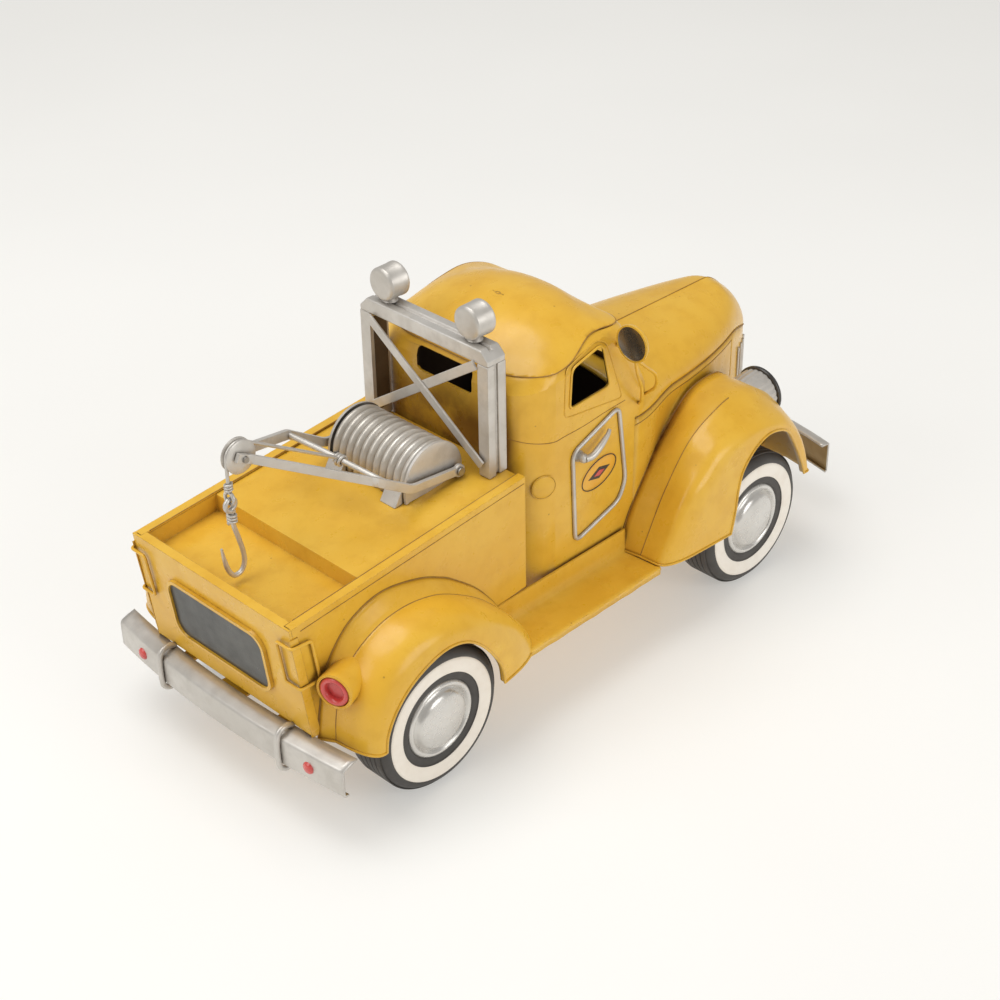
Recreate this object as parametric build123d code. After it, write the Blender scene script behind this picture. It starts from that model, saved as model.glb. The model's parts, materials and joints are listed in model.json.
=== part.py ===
from build123d import *
import os
from math import acos, atan2, cos, degrees, hypot, radians, sin

# Toy tow truck, pressed and soldered sheet steel. Millimetres.
# +X is the front of the truck, +Y its left side, +Z up; the ground is z = 0 and the
# origin lies on the ground under the middle of the bumper-to-bumper length.

# ---------------------------------------------------------------- driving sizes
FLOOR_TOP = 53.6                 # upper face of the flat floor sheet
BELLY = 1.0                      # thickness of the stiffening plate under the floor
SHEET = 1.4                      # thickness of the pressed panels
CLEAR = 0.3                      # gap between neighbouring moving pieces

AXLE_FRONT_X, AXLE_REAR_X = 109.0, -131.0
TYRE_R, TYRE_IN, TYRE_OUT = 39.0, 55.0, 83.0     # radius and |Y| of both sidewalls
TYRE_BORE_R, TYRE_SHOULDER = 22.5, 6.0
HUB_FACE, HUB_DOME, HUB_DOME_R = 81.0, 86.0, 17.0    # |Y| of hub flange and dome top, dome radius
AXLE_R, AXLE_END, AXLE_FIT = 2.0, 74.0, 0.06

BED_HALF = 58.0
BED_REAR_TOP, BED_REAR_FOOT = (-199.5, 116.0), (-191.7, 51.6)
BED_FRONT_X, BED_FRONT_TOP, BED_FRONT_FOOT = -46.5, 128.0, 62.0
TRAY_FRONT_X, TRAY_DEPTH, RIM = -152.0, 11.0, 5.0

CAB_REAR_X, CAB_FRONT_X, CAB_HALF = -44.5, 52.0, 56.0
CAB_FLOOR_Z, CAB_CORNER, PILLAR_CORNER = FLOOR_TOP, 22.0, 12.0
ROOF_SEAM = [(-44.5, 174.0), (-15.0, 174.5), (9.0, 183.0), (32.0, 181.0)]
ROOF_FRONT_X, ROOF_BASE_Z, ROOF_RISE = 33.5, 172.0, 20.5
ROOF_TILT, ROOF_POWER = 9.0, 1.9

HOOD_ROOT_X, PROW_X, HOOD_HALF = 45.0, 198.0, 47.0
NOSE_SPLIT_X, PROW_FOOT_Z = 150.0, FLOOR_TOP

FENDER_SEAM, FENDER_OUT, FENDER_SHEET, FENDER_ROUND = 66.0, 88.0, 1.5, 20.0
FENDER_FOOT_Z = 45.0
ARCH_R = 43.5
BOARD_OUT, BOARD_TOP = 83.6, 48.0

GANTRY_REAR, GANTRY_FRONT = -58.4, -46.0
GANTRY_HALF, GANTRY_LEG, GANTRY_TOP, GANTRY_BEAM = 45.0, 7.0, 196.0, 7.5
LAMP_R, LAMP_Y, LAMP_Z = 8.7, 29.8, 206.3

DRUM_X, DRUM_Z, DRUM_R, DRUM_HALF, DRUM_RIBS = -80.0, 130.0, 19.0, 28.3, 10
PIVOT_X, PIVOT_Z, PIVOT_R, PIVOT_FIT = -66.5, 129.5, 1.5, 0.06
ARM_Y, ARM_T, ARM_H = 31.6, 2.2, 4.6

SHEAVE_X, SHEAVE_Z, SHEAVE_R, SHEAVE_W = -175.0, 173.5, 8.6, 5.2
SHEAVE_GROOVE_R, SHEAVE_PIN_R, SHEAVE_FIT = 5.3, 1.5, 0.06
CABLE_R, CABLE_LAY_R = 0.85, 7.2     # wire radius, and radius of its turn on the sheave
EYE_Z, EYE_R = 150.6, 3.0            # height of the wire eye's bottom, and its ring radius
HOOK_R, HOOK_EYE_R = 1.2, 3.0        # hook wire, and the ring radius of its own eye


# ---------------------------------------------------------------- helpers
def block(x, y, z):
    """Box between three (low, high) pairs."""
    size = Box(x[1] - x[0], y[1] - y[0], z[1] - z[0])
    return Pos((x[0] + x[1]) / 2, (y[0] + y[1]) / 2, (z[0] + z[1]) / 2) * size


def side_plate(face_xz, y0, y1):
    """Extrude a face drawn in X-Z from y0 to y1."""
    low, high = min(y0, y1), max(y0, y1)
    return Pos(0, high, 0) * (Plane.XZ * extrude(face_xz, high - low))


def front_plate(face_yz, x0, x1):
    """Extrude a face drawn in Y-Z from x0 to x1."""
    return Pos(x0, 0, 0) * (Plane.YZ * extrude(face_yz, x1 - x0))


def polygon(*points):
    return make_face(Polyline(*points, close=True))


def rounded(points, radii):
    """Closed face from a polygon whose corners are rounded by the radii given."""
    face = polygon(*points)
    for point, radius in zip(points, radii):
        if radius:
            corner = face.vertices().sort_by_distance(Vector(point[0], point[1], 0))[0]
            face = fillet(corner, radius)
    return face


def rod(a, b, radius):
    """Round bar from point a to point b."""
    a, b = Vector(*a), Vector(*b)
    return extrude(Plane(a, z_dir=b - a) * Circle(radius), (b - a).length)


def wire(points, bend, radius, closed=False):
    """Bent round wire through the points given."""
    path = FilletPolyline(*points, radius=bend, close=closed)
    start = Plane(path @ 0, z_dir=path % 0)
    return sweep(start * Circle(radius), path, transition=Transition.ROUND)


def bent_rod(points, radius, closed=False):
    """Round wire with sharp bends: straight rods joined by balls of the same radius."""
    ends = list(points) + ([points[0]] if closed else [])
    bar = Sphere(radius).moved(Location(points[0]))
    for a, b in zip(ends, ends[1:]):
        bar += rod(a, b, radius) + Sphere(radius).moved(Location(b))
    return bar


def mirrored(shape):
    return mirror(shape, about=Plane.XZ)


def both(shape):
    return Compound([shape, mirrored(shape)])


def wheel_axis(shape, x):
    """Place a shape turned about its Z so that it turns about Y, outboard to the right."""
    return Pos(x, 0, TYRE_R) * (Rot(90, 0, 0) * shape)


def line_z(x, a, b):
    """Height at x of the straight line through a and b, each (x, z)."""
    return a[1] + (x - a[0]) * (b[1] - a[1]) / (b[0] - a[0])


def rim_z(x):
    return line_z(x, BED_REAR_TOP, (BED_FRONT_X, BED_FRONT_TOP))


def tail_x(z):
    """X of the tailgate's outer face at height z."""
    (x0, z0), (x1, z1) = BED_REAR_TOP, BED_REAR_FOOT
    return x0 + (z - z0) * (x1 - x0) / (z1 - z0)


# ---------------------------------------------------------------- wheels
def tyre():
    outline = rounded([(TYRE_BORE_R, TYRE_IN), (TYRE_R, TYRE_IN), (TYRE_R, TYRE_OUT),
                       (TYRE_BORE_R, TYRE_OUT)], [0, TYRE_SHOULDER, TYRE_SHOULDER, 2])
    return revolve(Plane.XZ * outline, Axis.Z)


def dome_height(radius):
    """|Y| of the round hubcap dome at the given distance from its axis."""
    rise = HUB_DOME - HUB_FACE
    sphere = (HUB_DOME_R ** 2 + rise ** 2) / (2 * rise)
    return HUB_DOME - sphere + (sphere ** 2 - radius ** 2) ** 0.5


def hub():
    """Pressed wheel centre: flange, domed cap and a bushed barrel for the axle."""
    bore = AXLE_R + AXLE_FIT
    barrel, dish = 6.0, 62.0
    middle = (HUB_DOME_R / 2, dome_height(HUB_DOME_R / 2))
    with_dome = [Line((bore, TYRE_IN + 1), (barrel, TYRE_IN + 1)),
                 Line((barrel, TYRE_IN + 1), (barrel, dish)),
                 Line((barrel, dish), (TYRE_BORE_R, dish)),
                 Line((TYRE_BORE_R, dish), (TYRE_BORE_R, HUB_FACE - 2)),
                 Line((TYRE_BORE_R, HUB_FACE - 2), (19.4, HUB_FACE)),
                 Line((19.4, HUB_FACE), (HUB_DOME_R, HUB_FACE)),
                 ThreePointArc((HUB_DOME_R, HUB_FACE), middle, (0, HUB_DOME)),
                 Line((0, HUB_DOME), (0, AXLE_END + CLEAR)),
                 Line((0, AXLE_END + CLEAR), (bore, AXLE_END + CLEAR)),
                 Line((bore, AXLE_END + CLEAR), (bore, TYRE_IN + 1))]
    return revolve(Plane.XZ * make_face(with_dome), Axis.Z)


def wheel_nodes():
    nodes = {}
    for end, x in (("front", AXLE_FRONT_X), ("rear", AXLE_REAR_X)):
        for name, shape in (("tyre", tyre()), ("hub", hub())):
            right = wheel_axis(shape, x)
            nodes[f"{name}_{end}_right"] = right
            nodes[f"{name}_{end}_left"] = mirrored(right)
    return nodes


def axle(x):
    return rod((x, -AXLE_END, TYRE_R), (x, AXLE_END, TYRE_R), AXLE_R)


def floor_pan():
    """Flat floor sheet with a stiffening plate below it and folded tabs that carry the axles."""
    top, half = FLOOR_TOP, 50.0
    pan = block((-189, 160), (-half, half), (top - SHEET, top))
    pan += block((-80, 50), (-36, 36), (top - SHEET - BELLY, top - SHEET))
    tab_y, tab_foot, tab_half = 38.0, TYRE_R - 5, 8.0
    for x in (AXLE_FRONT_X, AXLE_REAR_X):
        for y in (-tab_y, tab_y):
            pan += block((x - tab_half, x + tab_half), (y - SHEET, y + SHEET), (tab_foot, top - SHEET))
        pan -= rod((x, -half, TYRE_R), (x, half, TYRE_R), AXLE_R + 0.02)
    return pan


# ---------------------------------------------------------------- bed
def bed_side():
    """Right side panel with its rim folded inwards and the wheel arch cut out."""
    (rear_x, rear_z), (foot_x, foot_z) = BED_REAR_TOP, BED_REAR_FOOT
    outline = polygon((rear_x + SHEET, rim_z(rear_x + SHEET)), (BED_FRONT_X, BED_FRONT_TOP),
                      (BED_FRONT_X, BED_FRONT_FOOT), (foot_x + SHEET, foot_z))
    panel = side_plate(outline, -BED_HALF, -BED_HALF + SHEET)
    start = rear_x + SHEET + 0.4
    rim = polygon((start, rim_z(start)), (BED_FRONT_X, BED_FRONT_TOP),
                  (BED_FRONT_X, BED_FRONT_TOP - SHEET), (start, rim_z(start) - SHEET))
    panel += side_plate(rim, -BED_HALF, -BED_HALF + RIM)
    arch = rod((AXLE_REAR_X, -BED_HALF - 1, TYRE_R), (AXLE_REAR_X, -BED_HALF + 3, TYRE_R), ARCH_R)
    return panel - arch


def below_rim(x, drop):
    return (x, rim_z(x) - drop)


def bed_deck():
    """Deck sheet that drops at the rear into a shallow tray."""
    tray_half = BED_HALF - RIM
    back, step, front = BED_REAR_TOP[0] + 3.0, TRAY_FRONT_X, BED_FRONT_X
    sheet = polygon(below_rim(step, SHEET), below_rim(front, SHEET),
                    below_rim(front, 2 * SHEET), below_rim(step, 2 * SHEET))
    wall = step + SHEET
    low = TRAY_DEPTH + SHEET
    tray = polygon(below_rim(back, SHEET), below_rim(wall, SHEET),
                   below_rim(wall, low), below_rim(back, low))
    hollow = polygon(below_rim(back - 5, -5), below_rim(step, -5),
                     below_rim(step, TRAY_DEPTH), below_rim(back - 5, TRAY_DEPTH))
    pan = side_plate(tray, -tray_half - SHEET, tray_half + SHEET) - side_plate(hollow, -tray_half, tray_half)
    return pan + side_plate(sheet, SHEET - BED_HALF, BED_HALF - SHEET)


def tailgate():
    """Tailgate sheet, its rim folded forwards and its two vertical corner strips."""
    (rear_x, rear_z), (foot_x, foot_z) = BED_REAR_TOP, BED_REAR_FOOT
    lip = rear_x + RIM
    outline = polygon((rear_x, rear_z), (lip, rim_z(lip)), (lip, rim_z(lip) - SHEET),
                      (rear_x + SHEET + 0.3, rear_z - SHEET), (foot_x + SHEET, foot_z), (foot_x, foot_z))
    gate = side_plate(outline, -BED_HALF + RIM, BED_HALF - RIM)
    edge = polygon((rear_x, rear_z), (rear_x + SHEET, rim_z(rear_x + SHEET)),
                   (foot_x + SHEET, foot_z), (foot_x, foot_z))
    for side in (-1, 1):
        gate += side_plate(edge, side * (BED_HALF - RIM), side * BED_HALF)
    strip = polygon((rear_x - 0.4, rear_z - 5), (rear_x + 4.5, rear_z - 5),
                    (foot_x + 5.5, foot_z - 1.5), (foot_x + 0.2, foot_z - 1.5))
    for side in (-1, 1):
        gate += side_plate(strip, side * BED_HALF, side * (BED_HALF + 0.6))
    return gate + panel_surround()


PANEL_Z, PANEL_HALF_W, PANEL_HALF_H, PANEL_CORNER = 83.0, 34.5, 16.5, 7.0


def tail_frame():
    """Workplane on the tailgate's outer face, centred on the dark panel."""
    (top_x, top_z), (foot_x, foot_z) = BED_REAR_TOP, BED_REAR_FOOT
    outward = Vector(foot_z - top_z, 0, top_x - foot_x)
    return Plane((tail_x(PANEL_Z), 0, PANEL_Z), x_dir=(0, -1, 0), z_dir=outward)


def tail_panel():
    shape = extrude(RectangleRounded(2 * PANEL_HALF_W, 2 * PANEL_HALF_H, PANEL_CORNER), 0.8)
    return tail_frame() * shape


def panel_surround():
    """Raised bead soldered round the dark panel."""
    outer = RectangleRounded(2 * PANEL_HALF_W + 4, 2 * PANEL_HALF_H + 4, PANEL_CORNER + 2)
    inner = RectangleRounded(2 * PANEL_HALF_W, 2 * PANEL_HALF_H, PANEL_CORNER)
    return tail_frame() * extrude(outer - inner, 2.0)


def corner_loops():
    """Wire grab handles bent round both rear corners of the bed."""
    top, foot, reach, side_reach = 107.0, 82.0, 9.0, 12.0
    out = BED_HALF + 1.9
    x_top, x_foot = tail_x(top) - 1.9, tail_x(foot) - 1.9
    points = [(x_top, -BED_HALF + reach, top), (x_top, -out, top), (x_top + side_reach, -out, top - 1),
              (x_foot + side_reach, -out, foot), (x_foot, -out, foot), (x_foot, -BED_HALF + reach, foot)]
    return both(bent_rod(points, 0.9, closed=True))


# ---------------------------------------------------------------- cab
def cab_plan(inset):
    x0, x1, y = CAB_REAR_X + inset, CAB_FRONT_X - inset, CAB_HALF - inset
    corner = CAB_CORNER - inset
    pillar = PILLAR_CORNER - inset
    return rounded([(x0, -y), (x1, -y), (x1, y), (x0, y)], [corner, pillar, pillar, corner])


def roof_level(share, inset):
    """Plan outline of the cab at a share of the roof's rise, laid on the tilted seam plane.

    Negative shares are below the seam, where the windscreen brings the front forwards."""
    above, below = max(share, 0), max(-share, 0)
    scale = (1 - above ** ROOF_POWER) ** (1 / ROOF_POWER)
    front = ROOF_FRONT_X + below * (CAB_FRONT_X - ROOF_FRONT_X) / 2
    tilt = radians(ROOF_TILT)
    half_x = ((front - CAB_REAR_X) / 2 * scale - inset) / cos(tilt)
    half_y = CAB_HALF * scale - inset
    widest = 0.94 * half_x
    rear = min(CAB_CORNER - inset + above * 16, widest)
    pillar = min(PILLAR_CORNER - inset + above * 24, widest)
    corners = [(-half_x, -half_y), (half_x, -half_y), (half_x, half_y), (-half_x, half_y)]
    outline = rounded(corners, [rear, pillar, pillar, rear])
    middle = (front + CAB_REAR_X) / 2
    height = share * (ROOF_RISE - inset)
    base = ROOF_BASE_Z + (middle - (ROOF_FRONT_X + CAB_REAR_X) / 2) * sin(tilt)
    centre = (middle, 0, base + height)
    return Plane(centre, x_dir=(cos(tilt), 0, sin(tilt)), z_dir=(-sin(tilt), 0, cos(tilt))) * outline


ROOF_SHARES = [-2.0, 0, 0.25, 0.48, 0.68, 0.84, 0.94, 0.985]


def cab_solid(inset):
    """Whole cab: upright walls, sloping windscreen and domed roof in one."""
    floor = Pos(0, 0, CAB_FLOOR_Z + inset) * cab_plan(inset)
    return loft([floor] + [roof_level(share, inset) for share in ROOF_SHARES], ruled=True)


def above_seam():
    """Space above the seam between cab and roof."""
    first, last = ROOF_SEAM[0], ROOF_SEAM[-1]
    return side_plate(polygon((first[0] - 5, first[1]), *ROOF_SEAM, (last[0] + 9, last[1]),
                              (last[0] + 9, 230), (first[0] - 5, 230)), -60, 60)


WINDOW = [(-12.8, 150.6), (-11.4, 172.8), (11.2, 177.8), (17.2, 152.0)]


def cab_body():
    shell = cab_solid(0) - cab_solid(SHEET) - above_seam()
    outline = rounded([(-19.5, 158), (19.5, 158), (19.5, 171.5), (-19.5, 171.5)], [3, 3, 3, 3])
    shell -= side_plate(rounded(WINDOW, [1.5, 3, 2.5, 3]), -60, 60) + front_plate(outline, -50, 0)
    for y in (-24.5, 24.5):
        pane = rounded([(-20, 146), (20, 146), (20, 172), (-20, 172)], [3, 3, 6, 6])
        shell -= Pos(0, y, 0) * front_plate(pane, 25, 60)
    return shell


def cab_roof():
    return (cab_solid(0) - cab_solid(SHEET)) & above_seam()


def seat_bench():
    base = block((-38, -8), (-34, 34), (CAB_FLOOR_Z + SHEET, 88))
    back = side_plate(polygon((-41, 88), (-31, 88), (-36, 132), (-41, 132)), -34, 34)
    return base + back


def door_trim():
    y = -CAB_HALF - 1.1
    points = [(-8.5, y, 70), (-11.0, y, 124.5), (23.5, y, 137.5), (30.0, y, 91), (25.0, y, 80)]
    return both(wire(points, 4.0, 1.0, closed=True))


def door_handle():
    out = -CAB_HALF
    boss = rod((-5.5, out, 120.5), (-5.5, out - 5.0, 120.5), 2.4)
    lever = wire([(-5.5, out - 4.2, 120.5), (0, out - 5.0, 120.5), (12.5, out - 4.0, 127.5)], 3.0, 1.2)
    return both(boss + lever)


# ---------------------------------------------------------------- hood and nose
def hood_half(x):
    """Half-width of the hood and nose in plan: nearly parallel, then a boat-like prow."""
    t = min(max((x - HOOD_ROOT_X) / (PROW_X + 0.5 - HOOD_ROOT_X), 0), 1)
    return HOOD_HALF * (1 - t ** 2.1) ** 0.74


def hood_seam(x):
    """Height of the seam between the hood and the sides below it."""
    return 124.0 - 0.04 * (x - HOOD_ROOT_X) - 21.0 * (max(x - NOSE_SPLIT_X, 0) / 48) ** 1.5


def hood_top(x):
    """Height of the centre crease."""
    return 142.5 - 0.018 * (x - HOOD_ROOT_X) - 42.0 * (max(x - 160, 0) / 38) ** 1.6


HOOD_STATIONS = [CAB_FRONT_X, 75, 100, 122, 140, 155, 167, 177, 185, 191, 195]


def hood_section(x, inset):
    half, spring, top = hood_half(x) - inset, hood_seam(x), hood_top(x) - inset
    arch = EllipticalCenterArc((0, spring), half, top - spring, 0, arc_size=180)
    foot = spring - (3 if inset else 0)
    edges = [arch, Line((-half, spring), (-half, foot - 1)),
             Line((-half, foot - 1), (half, foot - 1)), Line((half, foot - 1), (half, spring))]
    return Pos(x, 0, 0) * (Plane.YZ * make_face(edges))


def hood_solid(inset):
    stations = [x for x in HOOD_STATIONS if hood_half(x) > inset + 5]
    return loft([hood_section(x, inset) for x in stations], ruled=True)


def hood():
    return hood_solid(0) - hood_solid(SHEET)


def nose_plan(inset):
    right = [(x, -(hood_half(x) - inset)) for x in HOOD_STATIONS]
    left = [(x, -y) for x, y in reversed(right)]
    return polygon(*right, *left)


def nose_walls():
    """Upright walls below the hood seam, open at the back."""
    seam = [(x, hood_seam(x) - 1.2) for x in HOOD_STATIONS]
    profile = polygon((CAB_FRONT_X, PROW_FOOT_Z), *seam, (PROW_X, seam[-1][1]), (PROW_X, PROW_FOOT_Z))
    wall = extrude(nose_plan(0), 140) - extrude(nose_plan(SHEET), 140)
    ends = block((CAB_FRONT_X - 1, CAB_FRONT_X + 0.02), (-60, 60), (0, 150))
    return (wall & side_plate(profile, -60, 60)) - ends


def cowl_sides():
    walls = nose_walls() & block((CAB_FRONT_X, NOSE_SPLIT_X), (-60, 60), (0, 150))
    arch = rod((AXLE_FRONT_X, -60, TYRE_R), (AXLE_FRONT_X, 60, TYRE_R), ARCH_R)
    return walls - arch


def grille_shell():
    return nose_walls() & block((NOSE_SPLIT_X + 0.05, PROW_X), (-60, 60), (0, 150))


def grille_bars():
    """Upright bright strips on both faces of the prow."""
    bars = []
    for i in range(5):
        x = 193.0 - 7.0 * i
        y = -hood_half(x) - 1.1
        bars.append(rod((x, y, 62), (x, y, hood_seam(x) - 4 - 2 * i), 0.8))
    return Compound(bars + [mirrored(bar) for bar in bars])


# ---------------------------------------------------------------- fenders
def fender_face(points, radii, inset, y):
    """Side outline of a fender, moved inwards by inset and placed at y."""
    outline = rounded(points, radii)
    if inset:
        outline = offset(outline, -inset, kind=Kind.INTERSECTION)
    return Pos(0, y, 0) * (Plane.XZ * outline)


def fender_block(form, inset, root_y=BED_HALF):
    """Sloping apron from the root to a seam, then a pod whose outer edge is well rounded."""
    at_body, at_seam, radii = form
    root = fender_face(at_body, radii, inset, -root_y)
    seam = fender_face(at_seam, radii, inset, -FENDER_SEAM)
    apron = loft([root, seam], ruled=True)
    pod = extrude(seam, FENDER_OUT - inset - FENDER_SEAM, dir=(0, -1, 0))
    outer_face = pod.faces().sort_by(Axis.Y)[0]
    low = min(z for _, z in at_seam) + 1
    rim = [e for e in outer_face.edges() if e.center().Z > low + inset]
    return apron + fillet(rim, FENDER_ROUND - inset)


def fender(form, arch_x, arch_z, arch_r, root_y=BED_HALF):
    """Hollow fender with the wheel opening cut through its outer wall."""
    shell = fender_block(form, 0, root_y) - fender_block(form, FENDER_SHEET, root_y)
    shell -= block((-250, 250), (-root_y - 0.7, -10), (-20, 200))
    below = block((-250, 250), (-100, -10), (-20, FENDER_FOOT_Z))
    outer = -FENDER_SEAM - 2
    opening = rod((arch_x, -100, arch_z), (arch_x, outer, arch_z), arch_r)
    opening += block((arch_x - arch_r, arch_x + arch_r), (-100, outer), (-20, arch_z))
    return shell - below - opening


REAR_FENDER = ([(-190.0, 20), (-181, 109.5), (-125, 109.5), (-60, 54), (-61, 20)],
               [(-185.0, 20), (-178, 102), (-121, 102), (-60, 50), (-61, 20)],
               [0, 33, 44, 13, 0])
FRONT_FENDER = ([(14, 20), (73, 121), (128, 118), (162, 75), (168, 20)],
                [(14, 20), (73, 118.5), (128, 115), (162, 75), (168, 20)],
                [0, 24, 34, 30, 0])


def rear_fender():
    return fender(REAR_FENDER, AXLE_REAR_X, TYRE_R, ARCH_R)


def front_fender():
    """Front fender, trimmed to the hood sides, the cab and the running board."""
    shell = fender(FRONT_FENDER, AXLE_FRONT_X + 3, TYRE_R + 4, ARCH_R + 3, root_y=24.0)
    shell -= extrude(nose_plan(-0.1), 200)
    shell -= block((0, CAB_FRONT_X + 0.1), (-CAB_HALF - 0.1, 0), (-20, 200))
    shell -= block((0, 31), (-BOARD_OUT - 0.1, 0), (-20, BOARD_TOP))
    shell -= block((0, 161), (-50.1, 0), (-20, FLOOR_TOP + 0.1))
    return shell.solids().sort_by(SortBy.VOLUME)[-1]


def running_board():
    """Flat step with a turned-down outer edge and an apron that rises to the body."""
    z0, z1 = BOARD_TOP - SHEET, BOARD_TOP
    apron_top, fold = 60.0, 2.5
    section = polygon((-BOARD_OUT, z1), (-60, z1), (-BED_HALF - 0.4, apron_top), (-BED_HALF + 0.8, apron_top),
                      (-59.6, z0), (-BOARD_OUT + SHEET, z0),
                      (-BOARD_OUT + SHEET, z0 - fold), (-BOARD_OUT, z0 - fold))
    return front_plate(section, -59.9, 29.6)


# ---------------------------------------------------------------- bumpers
def bumper_channel(face_x, sweep_back, half, z0, z1, flange, out):
    """Bowed channel: the face is an arc in plan and both flanges are folded towards the body."""
    end_x = face_x - out * sweep_back
    inner_x = end_x - out * flange
    face = face_x - out * flange
    outline = make_face([ThreePointArc((end_x, -half), (face_x, 0), (end_x, half)),
                         Line((end_x, half), (inner_x, half)),
                         ThreePointArc((inner_x, half), (face, 0), (inner_x, -half)),
                         Line((inner_x, -half), (end_x, -half))])
    bar = Pos(0, 0, z0) * extrude(outline, z1 - z0)
    hollow = Pos(-out * SHEET, 0, z0 + SHEET) * extrude(offset(outline, 0.01), z1 - z0 - 2 * SHEET)
    return bar - hollow


def rear_bumper():
    return bumper_channel(-201.5, 6.0, 85.0, 33.0, 47.0, 8.0, -1)


def front_bumper():
    return bumper_channel(203.0, 9.0, 72.0, 29.0, 46.0, 7.0, 1)


GUARD_R = 1.3


def bumper_guards():
    """Bent wire overriders hooked over the rear bumper."""
    face, y = -199.8, 45.0
    x = face - GUARD_R - 0.1
    points = [(x + 7.4, -y, 47.0 + GUARD_R), (x + 5.0, -y, 50.8), (x, -y, 50.4), (x, -y, 30.0),
              (x + 4.5, -y, 28.8)]
    return both(bent_rod(points, GUARD_R))


def rear_reflectors():
    face = -198.45
    return both(rod((face, -63.5, 39.8), (face - 2.4, -63.8, 39.8), 3.4))


def bumper_brackets():
    """Cranked straps from the floor sheet to the top flange of each bumper."""
    strap, under = 1.6, FLOOR_TOP - SHEET
    straps = []
    for y, half in ((-36.0, 4.0), (0.0, 9.0), (36.0, 4.0)):
        flat = block((-198.0, -165), (y - half, y + half), (47.0, 47.0 + strap))
        straps.append(flat + block((-176, -165), (y - half, y + half), (47.0 + strap, under)))
    for y in (-18.0, 18.0):
        flat = block((148, 199.0), (y - 4, y + 4), (46.0, 46.0 + strap))
        straps.append(flat + block((148, 158), (y - 4, y + 4), (46.0 + strap, under)))
    return Compound(straps)


# ---------------------------------------------------------------- lamps and mirror
TAIL_LAMP = (-187.0, -70.5, 80.5)
TAIL_LAMP_R, TAIL_LAMP_END_X = 9.6, -166.0
HEADLAMP = (142.0, -56.0, 96.0)
HEADLAMP_R, HEADLAMP_LENGTH = 14.0, 36.0
MIRROR = (18.0, -70.0, 181.0)
MIRROR_R = 10.0


def tail_lamp_housings():
    x, y, z = TAIL_LAMP
    tube = rod((x, y, z), (TAIL_LAMP_END_X, y, z), TAIL_LAMP_R)
    tube -= rod((x - 1, y, z), (x + 6, y, z), TAIL_LAMP_R - SHEET)
    return both(tube - rear_fender_core())


def tail_lamp_lenses():
    """Red lens ring with a hollow middle, set into the mouth of each housing."""
    x, y, z = TAIL_LAMP
    radius = TAIL_LAMP_R - SHEET
    lens = rod((x - 0.6, y, z), (x + 6, y, z), radius) - rod((x - 1, y, z), (x + 4, y, z), radius - 3.0)
    return both(lens - rear_fender_core())


def headlamp_profile(inset):
    """Bullet outline: round tail, swelling to the rim (length along Z, radius along X)."""
    tail, mouth, radius = inset, HEADLAMP_LENGTH, HEADLAMP_R - inset
    edges = [Line((0, tail), (0, mouth)), Line((0, mouth), (radius, mouth)),
             Line((radius, mouth), (radius, mouth - 6)),
             EllipticalCenterArc((0, mouth - 6), radius, mouth - 6 - tail, 0, arc_size=-90)]
    return Plane.XZ * make_face(edges)


def along_x(shape, x, y, z):
    """Place a shape turned about its Z so that its Z runs towards +X from the point given."""
    return Pos(x, y, z) * (Rot(0, 90, 0) * shape)


def headlamp_shells():
    x, y, z = HEADLAMP
    shell = revolve(headlamp_profile(0), Axis.Z) - revolve(headlamp_profile(SHEET), Axis.Z)
    shell = along_x(shell, x - HEADLAMP_LENGTH, y, z) - front_fender_core()
    return both(shell)


def headlamp_rims():
    x, y, z = HEADLAMP
    rim = rod((x, y, z), (x + 3, y, z), HEADLAMP_R + 1.0)
    rim -= rod((x - 1, y, z), (x + 4, y, z), HEADLAMP_R - 1.5)
    return both(rim - front_fender_core())


def headlamp_lenses():
    x, y, z = HEADLAMP
    lens = rod((x + 0.4, y, z), (x + 2.0, y, z), HEADLAMP_R - 1.5)
    return both(lens - front_fender_core())


def work_lamps():
    x0, x1 = GANTRY_REAR + 1.0, GANTRY_FRONT + 0.6
    lamp = rod((x0, LAMP_Y, LAMP_Z), (x1, LAMP_Y, LAMP_Z), LAMP_R)
    lamp = fillet(lamp.edges(), 1.2)
    mid = (GANTRY_REAR + GANTRY_FRONT) / 2
    lamp += block((mid - 3, mid + 3), (LAMP_Y - 3, LAMP_Y + 3), (GANTRY_TOP, LAMP_Z - 8))
    return both(lamp)


def mirror_stays():
    """Three thin rods: two from the cowl and one from the windscreen pillar."""
    x, y, z = MIRROR
    side = -CAB_HALF
    socket = (x + 1.6, y, z - MIRROR_R + 1.0)
    rods = bent_rod([(40.5, side + 0.6, 131.5), (33.5, -64.0, 146.0), socket], 0.8)
    rods += bent_rod([(47.0, side + 2, 133.5), (42.0, -65.5, 152.0), socket], 0.8)
    rods += bent_rod([socket, (x + 2.0, y + 3, z), (19.0, side, 172.0)], 0.8)
    return rods - mirror_head() - cab_body()


def mirror_head():
    x, y, z = MIRROR
    dish = rod((x - 1.2, y, z), (x + 2.4, y, z), MIRROR_R)
    return dish - rod((x - 1.3, y, z), (x - 0.4, y, z), MIRROR_R - 1.0)


# ---------------------------------------------------------------- gantry
def gantry_leg():
    """Double-channel leg: an open groove runs up its outer side."""
    foot, top = rim_z(GANTRY_REAR) - 4.0, GANTRY_TOP - GANTRY_BEAM
    leg = block((GANTRY_REAR, GANTRY_FRONT), (-GANTRY_HALF, -GANTRY_HALF + GANTRY_LEG), (foot, top))
    mid = (GANTRY_REAR + GANTRY_FRONT) / 2
    leg -= block((mid - 1.0, mid + 1.0), (-GANTRY_HALF - 1, -GANTRY_HALF + 1.6), (foot - 1, top + 1))
    return leg - deck_core()


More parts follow.
